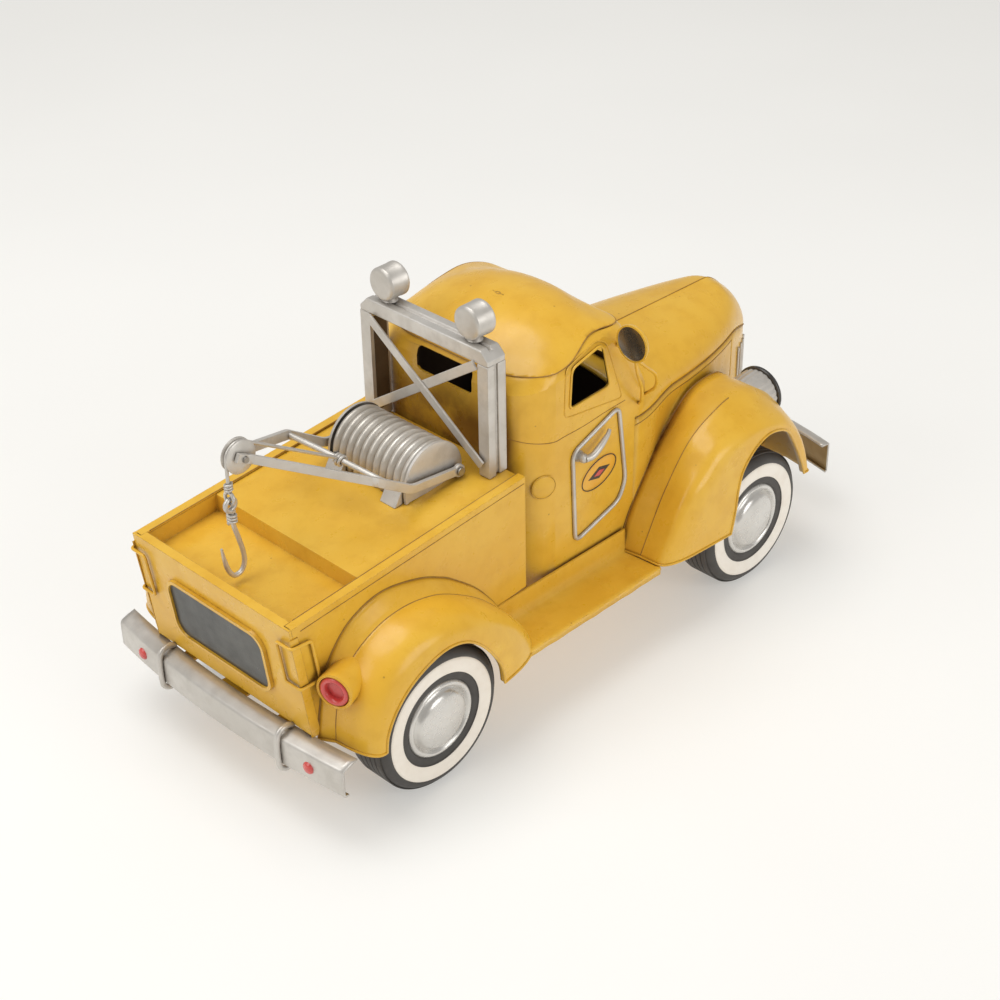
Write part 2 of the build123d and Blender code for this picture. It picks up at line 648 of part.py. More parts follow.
def gantry_beam():
    z0 = GANTRY_TOP - GANTRY_BEAM
    cut = 5.0
    outline = polygon((-GANTRY_HALF, z0), (GANTRY_HALF, z0), (GANTRY_HALF, GANTRY_TOP - cut),
                      (GANTRY_HALF - cut, GANTRY_TOP), (-GANTRY_HALF + cut, GANTRY_TOP),
                      (-GANTRY_HALF, GANTRY_TOP - cut))
    mid = (GANTRY_REAR + GANTRY_FRONT) / 2
    beam = front_plate(outline, GANTRY_REAR, GANTRY_FRONT)
    return beam - block((mid - 1.0, mid + 1.0), (-60, 60), (GANTRY_TOP - 1.6, GANTRY_TOP + 1))


BRACE_W, BRACE_T = 5.0, 1.2


def brace(y0, z0, y1, z1, x0):
    """Flat bar from (y0, z0) to (y1, z1), its back face at x0."""
    along = Vector(y1 - y0, z1 - z0)
    across = Vector(-along.Y, along.X).normalized() * (BRACE_W / 2)
    corners = [(y0 + across.X, z0 + across.Y), (y1 + across.X, z1 + across.Y),
               (y1 - across.X, z1 - across.Y), (y0 - across.X, z0 - across.Y)]
    return front_plate(polygon(*corners), x0, x0 + BRACE_T)


def gantry_braces():
    """Crossed flat bars on the rear face, the second one laid over the first."""
    x = GANTRY_REAR - BRACE_T
    under = brace(37.0, 136.5, -37.0, 187.5, x)
    over = brace(37.0, 187.5, -41.5, 133.5, x - BRACE_T)
    return Compound([under, over])


# ---------------------------------------------------------------- winch
def drum_outline(inset):
    radius = DRUM_R - inset
    foot = rim_z(DRUM_X - DRUM_R) - 2.0
    rear, front = DRUM_X - radius, DRUM_X + radius
    return make_face([ThreePointArc((rear, DRUM_Z), (DRUM_X, DRUM_Z + radius), (front, DRUM_Z)),
                      Line((front, DRUM_Z), (front, foot)), Line((front, foot), (rear, foot)),
                      Line((rear, foot), (rear, DRUM_Z))])


def winch_cover():
    """Corrugated tunnel-shaped cover with a flat plate soldered to each end."""
    pitch = 2 * (DRUM_HALF - 2.0) / DRUM_RIBS
    cover = side_plate(drum_outline(2.0), -DRUM_HALF, DRUM_HALF)
    for i in range(DRUM_RIBS):
        y = -DRUM_HALF + 2.0 + pitch * i
        cover += side_plate(drum_outline(0.6), y + 0.25 * pitch, y + 0.75 * pitch)
    for side in (-1, 1):
        cover += side_plate(drum_outline(0), side * (DRUM_HALF - 1.4), side * DRUM_HALF)
    cover -= side_plate(drum_outline(4.0), -DRUM_HALF + 1.4, DRUM_HALF - 1.4)
    cover -= rod((PIVOT_X, -40, PIVOT_Z), (PIVOT_X, 40, PIVOT_Z), PIVOT_R + 0.02)
    return cover - deck_core()


def winch_base():
    """Two small wedge feet under the rear edge of the cover."""
    back = DRUM_X - DRUM_R
    wedge = polygon((back - 8.0, 118), (back - 0.1, 131.0), (back - 0.1, 118))
    return both(side_plate(wedge, -26, -15) - deck_core())


def winch_pivot_pin():
    shaft = rod((PIVOT_X, -ARM_Y - 2.2, PIVOT_Z), (PIVOT_X, ARM_Y + 2.2, PIVOT_Z), PIVOT_R)
    face = ARM_Y + ARM_T / 2
    head = rod((PIVOT_X, face + CLEAR, PIVOT_Z), (PIVOT_X, face + 1.4, PIVOT_Z), 2.2)
    return shaft + head + mirrored(head)


# ---------------------------------------------------------------- boom
ARM_ELBOW = (-121.0, ARM_Y, 148.0)
ARM_KNEE = (-98.0, ARM_Y, 133.0)


def arm_outline():
    """Side view of an arm: one strip with two gentle bends and rounded ends."""
    centre = [(-179.0, 175.6), (ARM_ELBOW[0], ARM_ELBOW[2]), (ARM_KNEE[0], ARM_KNEE[2]),
              (PIVOT_X, PIVOT_Z)]
    path = FilletPolyline(*centre, radius=14)
    return trace(path, ARM_H) + Pos(PIVOT_X, PIVOT_Z) * Circle(3.4)


def arm_plan():
    """Plan view of the right arm: splayed from the sheave to the cover's end, then parallel."""
    y0 = SHEAVE_W / 2 + CLEAR + 0.2 + ARM_T / 2
    centre = [(-182.0, -y0), (-172.0, -y0), (ARM_ELBOW[0], -ARM_Y), (PIVOT_X + 5.0, -ARM_Y)]
    return trace(FilletPolyline(*centre, radius=6), ARM_T)


def boom_arm():
    strip = extrude(arm_plan(), 260) & side_plate(arm_outline(), -60, 0)
    strip -= rod((PIVOT_X, -40, PIVOT_Z), (PIVOT_X, 0, PIVOT_Z), PIVOT_R + PIVOT_FIT)
    return strip - rod((SHEAVE_X, -40, SHEAVE_Z), (SHEAVE_X, 0, SHEAVE_Z), SHEAVE_PIN_R + 0.02)


def sheave_pin():
    end = SHEAVE_W / 2 + ARM_T + 1.5
    return rod((SHEAVE_X, -end, SHEAVE_Z), (SHEAVE_X, end, SHEAVE_Z), SHEAVE_PIN_R)


def sheave():
    """Grooved pulley: two flanges and a deep round groove."""
    half, lip = SHEAVE_W / 2, 1.2
    bore = SHEAVE_PIN_R + SHEAVE_FIT
    inner = half - lip - 0.3
    section = polygon((bore, -half), (SHEAVE_R, -half), (SHEAVE_R, lip - half), (SHEAVE_GROOVE_R, -inner),
                      (SHEAVE_GROOVE_R, inner), (SHEAVE_R, half - lip), (SHEAVE_R, half), (bore, half))
    return Pos(SHEAVE_X, 0, SHEAVE_Z) * (Rot(90, 0, 0) * revolve(Plane.XZ * section, Axis.Z))


BRACE_LEFT, BRACE_RIGHT = (-121.0, 30.4, 148.0), (-112.0, -30.4, 142.2)
KNOT_SHARE = 0.52                # place of the knot along the cross brace, from its left end


def boom_cross_brace():
    arm = boom_arm()
    return rod(BRACE_LEFT, BRACE_RIGHT, 1.5) - arm - mirrored(arm)


def knot_place():
    return Vector(*BRACE_LEFT) * (1 - KNOT_SHARE) + Vector(*BRACE_RIGHT) * KNOT_SHARE


DROP_X = SHEAVE_X - CABLE_LAY_R


def tow_cable():
    """Stiff wire: ring on the cross brace, run, turn over the sheave, drop and eye."""
    knot = knot_place()
    along = Vector(*BRACE_RIGHT) - Vector(*BRACE_LEFT)
    ring = Plane(knot, z_dir=along).location * Torus(1.5 + CABLE_R + 0.02, CABLE_R)
    start = Vector(knot.X - 1.6, knot.Y, knot.Z + 1.8)
    dx, dz = start.X - SHEAVE_X, start.Z - SHEAVE_Z
    lift = degrees(atan2(dz, dx) + acos(CABLE_LAY_R / hypot(dx, dz)))
    turn = Pos(SHEAVE_X, 0, SHEAVE_Z) * (Plane.XZ * CenterArc((0, 0), CABLE_LAY_R, lift, 180 - lift))
    bend = sweep(Plane(turn @ 0, z_dir=turn % 0) * Circle(CABLE_R), turn)
    run = rod(start, turn @ 0, CABLE_R) + Sphere(CABLE_R).moved(Location(turn @ 0))
    drop = rod((DROP_X, 0, SHEAVE_Z), (DROP_X, 0, EYE_Z + 2 * EYE_R - 0.3), CABLE_R)
    eye = Pos(DROP_X, 0, EYE_Z + EYE_R) * (Rot(0, 90, 0) * Torus(EYE_R, CABLE_R))
    return ring + run + bend + drop + eye


def hook():
    """Wire hook: its eye lies fore and aft and hangs on the eye of the tow wire."""
    eye_z = EYE_Z + CABLE_R + CLEAR + HOOK_R - HOOK_EYE_R
    eye = Pos(DROP_X, 0, eye_z) * (Rot(90, 0, 0) * Torus(HOOK_EYE_R, HOOK_R))
    x, foot = DROP_X, eye_z - HOOK_EYE_R
    shank = [(x, 0, foot), (x + 0.5, 0, foot - 9), (x + 4.5, 0, foot - 24), (x + 4.0, 0, foot - 35),
             (x - 3.5, 0, foot - 35.5), (x - 6.5, 0, foot - 25), (x - 7.5, 0, foot - 17.5)]
    path = FilletPolyline(*shank, radius=[8, 8, 3.2, 3.2, 8])
    bar = sweep(Plane(path @ 0, z_dir=path % 0) * Circle(HOOK_R), path)
    return eye + bar


# ---------------------------------------------------------------- solids used for trimming
def deck_core():
    """Space below the deck's upper face."""
    x0, x1 = -199.0, -40.0
    face = polygon((x0, rim_z(x0) - SHEET), (x1, rim_z(x1) - SHEET), (x1, 60), (x0, 60))
    return side_plate(face, -60, 60)


def rear_fender_core():
    return fender_block(REAR_FENDER, 0)


def front_fender_core():
    return fender_block(FRONT_FENDER, 0, 24.0)


# ---------------------------------------------------------------- nodes
def all_nodes():
    nodes = wheel_nodes()
    for build in (bed_side, rear_fender, front_fender, running_board, gantry_leg, boom_arm):
        right = build()
        nodes[f"{build.__name__}_right"] = right
        nodes[f"{build.__name__}_left"] = mirrored(right)
    nodes["axle_front"] = axle(AXLE_FRONT_X)
    nodes["axle_rear"] = axle(AXLE_REAR_X)
    for build in (floor_pan, bed_deck, tailgate, tail_panel, corner_loops,
                  cab_body, cab_roof, seat_bench, door_trim, door_handle,
                  hood, cowl_sides, grille_shell, grille_bars,
                  rear_bumper, front_bumper, bumper_guards, rear_reflectors, bumper_brackets,
                  tail_lamp_housings, tail_lamp_lenses, headlamp_shells, headlamp_rims, headlamp_lenses,
                  work_lamps, mirror_stays, mirror_head, gantry_beam, gantry_braces,
                  winch_cover, winch_base, winch_pivot_pin,
                  sheave_pin, sheave, boom_cross_brace, tow_cable, hook):
        nodes[build.__name__] = build()
    return nodes


if __name__ == "__main__":
    os.makedirs("parts", exist_ok=True)
    for name, shape in all_nodes().items():
        export_step(shape, f"parts/{name}.step")
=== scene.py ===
import json
from math import acos, atan2, cos, hypot, pi, radians, sin, sqrt

import bmesh
import bpy
from mathutils import Matrix, Vector


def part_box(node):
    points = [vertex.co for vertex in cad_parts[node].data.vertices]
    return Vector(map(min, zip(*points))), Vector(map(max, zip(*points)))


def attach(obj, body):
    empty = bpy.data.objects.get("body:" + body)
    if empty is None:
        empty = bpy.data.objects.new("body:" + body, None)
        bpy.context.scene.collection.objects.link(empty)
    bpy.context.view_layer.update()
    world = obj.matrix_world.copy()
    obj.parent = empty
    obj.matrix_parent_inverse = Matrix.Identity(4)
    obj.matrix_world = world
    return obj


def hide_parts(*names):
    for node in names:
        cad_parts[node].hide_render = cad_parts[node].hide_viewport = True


# A pressed sheet steel toy tow truck. Sizes below are millimetres until a mesh is made.
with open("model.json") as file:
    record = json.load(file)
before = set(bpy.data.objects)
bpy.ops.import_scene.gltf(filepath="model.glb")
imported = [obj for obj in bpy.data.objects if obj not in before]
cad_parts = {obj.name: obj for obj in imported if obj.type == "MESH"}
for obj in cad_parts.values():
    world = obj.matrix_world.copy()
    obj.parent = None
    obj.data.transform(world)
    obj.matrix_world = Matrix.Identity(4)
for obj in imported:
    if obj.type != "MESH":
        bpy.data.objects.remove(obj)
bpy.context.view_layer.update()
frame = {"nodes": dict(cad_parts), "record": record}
MM = 0.001


def span(node):
    """Lowest and highest corner of a CAD node, in millimetres."""
    low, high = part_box(node)
    return low / MM, high / MM


# ---------------- sizes read from the frame
def wheel_place(end):
    low, high = span(f"tyre_{end}_right")
    return (low.x + high.x) / 2, (low.z + high.z) / 2


REAR_X, WHEEL_Z = wheel_place("rear")
FRONT_X, _ = wheel_place("front")
TYRE_OUT, TYRE_IN = -span("tyre_rear_right")[0].y, -span("tyre_rear_right")[1].y
TYRE_R = WHEEL_Z
HUB_OUT = -span("hub_rear_right")[0].y
BODY_Y = -span("bed_side_right")[0].y
FENDER_Y = -span("rear_fender_right")[0].y
CAB_LOW, CAB_HIGH = span("cab_body")
HOOD_FRONT = span("hood")[1].x


# ---------------- node helpers
def node(tree, kind, inputs=None, **settings):
    """Shader node with its inputs linked or set and its settings made."""
    made = tree.nodes.new("ShaderNode" + kind)
    for key, value in settings.items():
        setattr(made, key, value)
    for key, value in (inputs or {}).items():
        if isinstance(value, bpy.types.NodeSocket):
            tree.links.new(value, made.inputs[key])
        else:
            made.inputs[key].default_value = value
    return made


def mix(tree, factor, a, b):
    """Colour mix; each of a and b is a socket or an (r, g, b)."""
    full = [c if isinstance(c, bpy.types.NodeSocket) else (*c, 1.0) for c in (a, b)]
    made = node(tree, "Mix", {0: factor, 6: full[0], 7: full[1]}, data_type="RGBA")
    return made.outputs[2]


def calc(tree, kind, a, b=0.0):
    return node(tree, "Math", {0: a, 1: b}, operation=kind, use_clamp=True).outputs[0]


def dot(tree, a, b):
    return node(tree, "VectorMath", {0: a, 1: b}, operation="DOT_PRODUCT").outputs["Value"]


def ramp(tree, value, low, high, to_low=0.0, to_high=1.0):
    """Smooth step from to_low at low to to_high at high."""
    made = node(tree, "MapRange", {"Value": value, "From Min": low, "From Max": high,
                                   "To Min": to_low, "To Max": to_high},
                interpolation_type="SMOOTHSTEP")
    return made.outputs[0]


def cloud(tree, place, scale, detail=3.0, roughness=0.5):
    return node(tree, "TexNoise", {"Vector": place, "Scale": scale, "Detail": detail,
                                   "Roughness": roughness}).outputs["Fac"]


def new_material(name):
    material = bpy.data.materials.new(name)
    material.use_nodes = True
    material.node_tree.nodes.clear()
    return material, material.node_tree


def edges_of(tree, radius):
    """1 along worn edges and folds, 0 on open surfaces."""
    rounded = node(tree, "Bevel", {"Radius": radius}, samples=4).outputs[0]
    flat = node(tree, "NewGeometry").outputs["Normal"]
    return ramp(tree, dot(tree, rounded, flat), 0.985, 0.80)


def facing_inwards(tree, place, centre):
    """1 where the surface faces the point given: the inside of a hollow body."""
    away = node(tree, "VectorMath", {0: place, 1: centre}, operation="SUBTRACT").outputs[0]
    normal = node(tree, "NewGeometry").outputs["Normal"]
    return ramp(tree, dot(tree, away, normal), 0.0, -0.002)


def weathered(name, light, main, deep, grime_and_shade, rough, metallic=0.0, edge=0.7, crease=1.0, speck=0.5,
              wave=0.25, reach=0.0045, coat=0.0, broad_shade=0.0, hollow=None, shine=0.5,
              peel_height=0.16):
    """Painted metal: mottled colour, brown creases, rubbed edges, specks and slight waviness; optional
    painted shade, brown in wide recesses and between parts, and for a hollow body near-black painted shade on
    its inside faces plus brown smudges and painted shade low on its rear-facing wall.
    """
    material, tree = new_material(name)
    place = node(tree, "TexCoord").outputs["Object"]
    broad = ramp(tree, cloud(tree, place, 22.0, 4.0), 0.35, 0.68)
    patch = ramp(tree, cloud(tree, place, 95.0, 5.0, 0.6), 0.42, 0.72)
    colour = mix(tree, broad, main, light)
    colour = mix(tree, calc(tree, "MULTIPLY", patch, 0.45), colour, deep)
    shut = node(tree, "AmbientOcclusion", {"Distance": reach}, samples=8).outputs["AO"]
    shut = ramp(tree, shut, 0.62, 0.18, 0.0, crease)
    ragged = ramp(tree, cloud(tree, place, 260.0, 6.0, 0.7), 0.36, 0.62, 0.25, 1.0)
    rubbed = calc(tree, "MULTIPLY", edges_of(tree, 0.0007), edge)
    worn = calc(tree, "MULTIPLY", calc(tree, "MAXIMUM", shut, rubbed), ragged)
    cells = node(tree, "TexVoronoi", {"Vector": place, "Scale": 150.0, "Randomness": 1.0})
    dots = ramp(tree, cells.outputs["Distance"], 0.10, 0.045)
    chosen = node(tree, "SeparateColor", {0: cells.outputs["Color"]}).outputs[0]
    dots = calc(tree, "MULTIPLY", dots, ramp(tree, chosen, 0.86, 0.88, 0.0, speck))
    dirt = calc(tree, "MAXIMUM", worn, dots)
    # painted shade: brown darkening in wide recesses and between parts, from a wide-reach occlusion mask
    if broad_shade:
        wide = node(tree, "AmbientOcclusion", {"Distance": 0.026}, samples=8).outputs["AO"]
        wide = ramp(tree, wide, 0.62, 0.20, 0.0, broad_shade)
        ragged_wide = ramp(tree, cloud(tree, place, 70.0, 5.0, 0.6), 0.25, 0.65, 0.45, 1.0)
        wide = calc(tree, "MULTIPLY", wide, ragged_wide)
        colour = mix(tree, wide, colour, grime_and_shade)
    colour = mix(tree, dirt, colour, grime_and_shade)
    gloss = ramp(tree, cloud(tree, place, 140.0, 4.0), 0.2, 0.8, rough - 0.07, rough + 0.09)
    gloss = calc(tree, "ADD", gloss, calc(tree, "MULTIPLY", dirt, 0.25))
    if hollow:
        # brown smudges and painted shade, darker low on the cab's rear-facing wall
        height = node(tree, "SeparateXYZ", {0: place}).outputs[2]
        normal = node(tree, "NewGeometry").outputs["Normal"]
        back = ramp(tree, node(tree, "SeparateXYZ", {0: normal}).outputs[0], -0.75, -0.98)
        low = ramp(tree, height, 0.168, 0.140)
        smudge_and_shade_patches = ramp(tree, cloud(tree, place, 40.0, 5.0, 0.65), 0.30, 0.62, 0.15, 0.85)
        back_smudge_and_shade = calc(tree, "MULTIPLY", calc(tree, "MULTIPLY", back, low), smudge_and_shade_patches)
        colour = mix(tree, back_smudge_and_shade, colour, grime_and_shade)
        # painted shade: faces turned to the inside of the cab are painted near-black and made fully rough
        inner = facing_inwards(tree, place, hollow)
        colour = mix(tree, inner, colour, (0.050, 0.030, 0.016))
        gloss = calc(tree, "MAXIMUM", gloss, inner)
    dents = cloud(tree, place, 34.0, 2.0)
    peel = cloud(tree, place, 900.0, 3.0)
    bumped = node(tree, "Bump", {"Strength": wave, "Distance": 0.0025, "Height": dents})
    bumped = node(tree, "Bump", {"Strength": peel_height, "Distance": 0.00022, "Height": peel,
                                 "Normal": bumped.outputs[0]})
    bumped = node(tree, "Bump", {"Strength": 0.4, "Distance": 0.0003, "Height": dirt,
                                 "Normal": bumped.outputs[0]}, invert=True)
    shader = node(tree, "BsdfPrincipled", {"Base Color": colour, "Roughness": gloss,
                                           "Metallic": metallic, "Normal": bumped.outputs[0],
                                           "Specular IOR Level": shine,
                                           "Coat Weight": coat, "Coat Roughness": 0.15})
    node(tree, "OutputMaterial", {"Surface": shader.outputs[0]})
    return material


BROWN = (0.17, 0.065, 0.014)
YELLOW_TONES = (0.80, 0.475, 0.050), (0.765, 0.430, 0.034), (0.66, 0.345, 0.018)
# yellow look: coat, strength of the painted shade in wide recesses, shine and edge wear
YELLOW_LOOK = {"coat": 0.22, "broad_shade": 0.6, "shine": 0.36, "edge": 0.85}
# cab paint: painted shade, near-black, on the inside faces round this centre point, and brown smudges with
# painted shade low on the rear wall
CAB_CENTRE = (0.0, 0.0, 0.120)
YELLOW = weathered("yellow_paint", *YELLOW_TONES, BROWN, 0.31, **YELLOW_LOOK)
CAB_YELLOW = weathered("cab_paint", *YELLOW_TONES, BROWN, 0.31, hollow=CAB_CENTRE, **YELLOW_LOOK)
CREASE = weathered("seam_brown", (0.50, 0.27, 0.035), (0.36, 0.175, 0.025), (0.22, 0.095, 0.016),
                   (0.10, 0.04, 0.012), 0.45)
SILVER = weathered("silver_paint", (0.66, 0.63, 0.585), (0.56, 0.53, 0.485), (0.44, 0.41, 0.365),
                   (0.16, 0.12, 0.085), 0.38, metallic=0.55, edge=0.35, crease=0.85, speck=0.35)
CHROME = weathered("hub_silver", (0.72, 0.70, 0.665), (0.67, 0.65, 0.615), (0.60, 0.575, 0.535),
                   (0.20, 0.155, 0.11), 0.24, metallic=0.6, edge=0.2, crease=0.8, speck=0.0, wave=0.02,
                   peel_height=0.0)
# painted shade: a darker copy of the silver paint, for the winch cover's ribs
SHADOWED = weathered("shaded_silver_grooves", (0.60, 0.565, 0.51), (0.52, 0.485, 0.43), (0.40, 0.36, 0.31),
                     (0.20, 0.15, 0.11), 0.36, metallic=0.5, edge=0.1, crease=0.55, speck=0.2,
                     reach=0.003)
# painted shade: near-black brown for the shadowed inside of the gantry legs' channels
CHANNEL_SHADE = weathered("channel_shadow", (0.13, 0.085, 0.045), (0.085, 0.055, 0.03), (0.045, 0.03, 0.018),
                  (0.02, 0.012, 0.008), 0.5, metallic=0.2)
GOLDEN = weathered("aged_inner_face", (0.42, 0.30, 0.14), (0.33, 0.22, 0.09), (0.22, 0.14, 0.05),
                   (0.09, 0.05, 0.02), 0.45, metallic=0.4)
STEEL = weathered("bare_steel", (0.42, 0.40, 0.37), (0.33, 0.31, 0.28), (0.24, 0.22, 0.2),
                  (0.10, 0.07, 0.05), 0.34, metallic=0.9)
RUBBER = weathered("tyre_rubber", (0.075, 0.068, 0.062), (0.055, 0.05, 0.045), (0.035, 0.032, 0.03),
                   (0.12, 0.095, 0.07), 0.55, edge=0.3, crease=0.2, speck=0.5, wave=0.12)
CREAM = weathered("side_wall_cream", (0.93, 0.875, 0.79), (0.89, 0.82, 0.72), (0.80, 0.71, 0.60),
                  (0.42, 0.31, 0.20), 0.46, edge=0.35, crease=0.5, speck=0.35, wave=0.15)
BLACK = weathered("gloss_black", (0.055, 0.05, 0.045), (0.03, 0.028, 0.025), (0.02, 0.018, 0.016),
                  (0.10, 0.06, 0.03), 0.22, edge=0.5, crease=0.3)
PANEL = weathered("dark_window_paint", (0.055, 0.055, 0.046), (0.034, 0.035, 0.030), (0.020, 0.020, 0.017),
                  (0.012, 0.010, 0.006), 0.34, edge=0.4, crease=1.0, speck=0.2, wave=0.18, coat=0.12)
RED = weathered("red_lens", (0.72, 0.10, 0.085), (0.60, 0.055, 0.05), (0.42, 0.03, 0.03),
                (0.14, 0.02, 0.015), 0.25, edge=0.3, crease=0.8, speck=0.2, coat=0.5)
DARK = weathered("dark_interior", (0.10, 0.065, 0.03), (0.07, 0.045, 0.022), (0.04, 0.028, 0.015),
                 (0.02, 0.012, 0.008), 0.6)
SMOKE = weathered("smoky_mirror", (0.26, 0.215, 0.165), (0.17, 0.14, 0.105), (0.11, 0.088, 0.065),
                  (0.06, 0.04, 0.025), 0.24, metallic=0.75, edge=0.2, crease=0.5, speck=0.2)
LENS = weathered("pale_lens", (0.80, 0.78, 0.72), (0.70, 0.68, 0.62), (0.55, 0.52, 0.46),
                 (0.2, 0.15, 0.1), 0.16, coat=0.6, edge=0.2)
INK = weathered("pictogram_black", (0.07, 0.055, 0.04), (0.045, 0.035, 0.028), (0.03, 0.025, 0.02),
                (0.35, 0.2, 0.03), 0.4, edge=0.2)
AMBER = weathered("pictogram_ground", (0.90, 0.50, 0.07), (0.84, 0.42, 0.04), (0.70, 0.32, 0.03),
                  BROWN, 0.36, edge=0.3)


# ---------------- mesh helpers
def finish_piece(piece, materials, body, nodes, slot):
    for material in materials:
        piece.data.materials.append(material)
    bpy.context.scene.collection.objects.link(piece)
    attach(piece, body)
    if nodes:
        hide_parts(*nodes)
    return piece


def mesh_piece(name, points, faces, materials, body="chassis", nodes=(), slot="yellow_paint",
               choose=None, sheet=0.0, bevel=0.0, sharp=38):
    """Mesh object from points in millimetres. choose(face index) picks the material."""
    mesh = bpy.data.meshes.new(name)
    mesh.from_pydata([Vector(p) * MM for p in points], [], faces)
    if choose:
        for i, polygon in enumerate(mesh.polygons):
            polygon.material_index = choose(i)
    bm = bmesh.new()
    bm.from_mesh(mesh)
    bmesh.ops.remove_doubles(bm, verts=bm.verts, dist=1e-6)
    bmesh.ops.recalc_face_normals(bm, faces=bm.faces)
    bm.to_mesh(mesh)
    bm.free()
    mesh.shade_smooth()
    mesh.set_sharp_from_angle(angle=radians(sharp))
    piece = bpy.data.objects.new(name, mesh)
    if sheet:
        solid = piece.modifiers.new("sheet", "SOLIDIFY")
        solid.thickness = abs(sheet) * MM
        solid.offset = -1 if sheet > 0 else 1
        solid.use_even_offset = False
    if bevel:
        soften(piece, bevel)
    return finish_piece(piece, materials, body, nodes, slot)


def silver_piece(name, shape, *nodes, body="chassis", sharp=60, **how):
    """Bright metal fitting from a (points, faces) pair."""
    return mesh_piece(name, *shape, [SILVER], body, nodes, "silver_paint", sharp=sharp, **how)


def soften(piece, width, segments=3):
    bevel = piece.modifiers.new("soft_edges", "BEVEL")
    bevel.width = width * MM
    bevel.segments = segments
    bevel.limit_method = "ANGLE"
    bevel.angle_limit = radians(32)
    bevel.harden_normals = True


def grid_faces(rows, columns, close_rows=False, close_columns=False, offset=0):
    faces = []
    for i in range(rows if close_rows else rows - 1):
        for j in range(columns if close_columns else columns - 1):
            a, b = i % rows, (i + 1) % rows
            c, d = j % columns, (j + 1) % columns
            faces.append((offset + a * columns + c, offset + a * columns + d,
                          offset + b * columns + d, offset + b * columns + c))
    return faces


def catmull(points, steps=8, closed=False):
    """Smooth curve through the points (any dimension)."""
    pts = [Vector(p) for p in points]
    n = len(pts)
    out = []
    for i in range(n if closed else n - 1):
        p1, p2 = pts[i], pts[(i + 1) % n]
        p0 = pts[i - 1] if closed or i else p1 + (p1 - p2)
        p3 = pts[(i + 2) % n] if closed or i + 2 < n else p2 + (p2 - p1)
        for s in range(steps):
            t = s / steps
            out.append(0.5 * (2 * p1 + (p2 - p0) * t + (2 * p0 - 5 * p1 + 4 * p2 - p3) * t ** 2
                              + (3 * p1 - p0 - 3 * p2 + p3) * t ** 3))
    if not closed:
        out.append(pts[-1])
    return out


def resample(points, count, closed=False):
    """Evenly spaced points along a polyline."""
    pts = list(points) + ([points[0]] if closed else [])
    lengths = [0.0]
    for a, b in zip(pts, pts[1:]):
        lengths.append(lengths[-1] + (b - a).length)
    out, k = [], 0
    for i in range(count):
        goal = lengths[-1] * i / (count if closed else count - 1)
        while k < len(lengths) - 2 and lengths[k + 1] < goal:
            k += 1
        share = (goal - lengths[k]) / max(lengths[k + 1] - lengths[k], 1e-9)
        out.append(pts[k].lerp(pts[k + 1], min(share, 1.0)))
    return out


def ease(t):
    """Smooth step from 0 to 1, with t held between them."""
    t = min(max(t, 0.0), 1.0)
    return t * t * (3 - 2 * t)


def tube_mesh(path, radius, sides=10, closed=False):
    """Points and faces of a round tube along a path; radius may be a list."""
    count = len(path)
    radii = radius if isinstance(radius, list) else [radius] * count
    points, faces = [], []
    before = None
    for i, p in enumerate(path):
        a = path[i - 1] if closed or i else path[0]
        b = path[(i + 1) % count] if closed or i + 1 < count else path[-1]
        along = (b - a).normalized()
        side = before if before else along.orthogonal().normalized()
        side = (side - along * side.dot(along)).normalized()
        before = side
        over = along.cross(side)
        for k in range(sides):
            turn = 2 * pi * k / sides
            points.append(p + (side * cos(turn) + over * sin(turn)) * radii[i])
    faces = grid_faces(count, sides, close_rows=closed, close_columns=True)
    if not closed:
        faces.append(tuple(range(sides)))
        faces.append(tuple(range((count - 1) * sides, count * sides)))
    return points, faces


def merge(*parts):
    """Joins (points, faces) pairs into one pair."""
    points, faces = [], []
    for more_points, more_faces in parts:
        start = len(points)
        points += list(more_points)
        faces += [tuple(start + i for i in face) for face in more_faces]
    return points, faces


def mirror_y(part):
    points, faces = part
    return [Vector((p[0], -p[1], p[2])) for p in points], [tuple(reversed(f)) for f in faces]


def rounded_path(points, bend, closed=False, steps=6):
    """Polyline with each corner replaced by a small arc-like curve."""
    pts = [Vector(p) for p in points]
    n = len(pts)
    out = []
    for i, p in enumerate(pts):
        if not closed and i in (0, n - 1):
            out.append(p)
            continue
        a, b = pts[i - 1], pts[(i + 1) % n]
        cut = min(bend, (a - p).length * 0.45, (b - p).length * 0.45)
        start, end = p + (a - p).normalized() * cut, p + (b - p).normalized() * cut
        for s in range(steps + 1):
            t = s / steps
            out.append(start * (1 - t) ** 2 + p * 2 * t * (1 - t) + end * t ** 2)
    return out


def wire_piece(name, parts, material, **how):
    """One object from several (path, radius, closed) wires."""
    made = merge(*[tube_mesh(path, radius, 12, closed) for path, radius, closed in parts])
    return mesh_piece(name, *made, [material], sharp=60, **how)


def lathe(profile, segments=96):
    """Points and faces of a profile of (radius, height) turned about Z."""
    points = []
    for radius, height in profile:
        for k in range(segments):
            turn = 2 * pi * k / segments
            points.append(Vector((radius * cos(turn), radius * sin(turn), height)))
    return points, grid_faces(len(profile), segments, close_columns=True)


# turn a lathed shape's height towards -Y, or towards +X
TO_THE_RIGHT = Matrix.Rotation(radians(90), 3, "X")
FORWARD = Matrix.Rotation(radians(90), 3, "Y")
# faces of a slab with four front corners and the same four behind
SLAB_FACES = [(0, 1, 2, 3), (7, 6, 5, 4)] + [(i, (i + 1) % 4, 4 + (i + 1) % 4, 4 + i) for i in range(4)]


def placed(part, turn, place):
    points, faces = part
    return [turn @ p + Vector(place) for p in points], faces


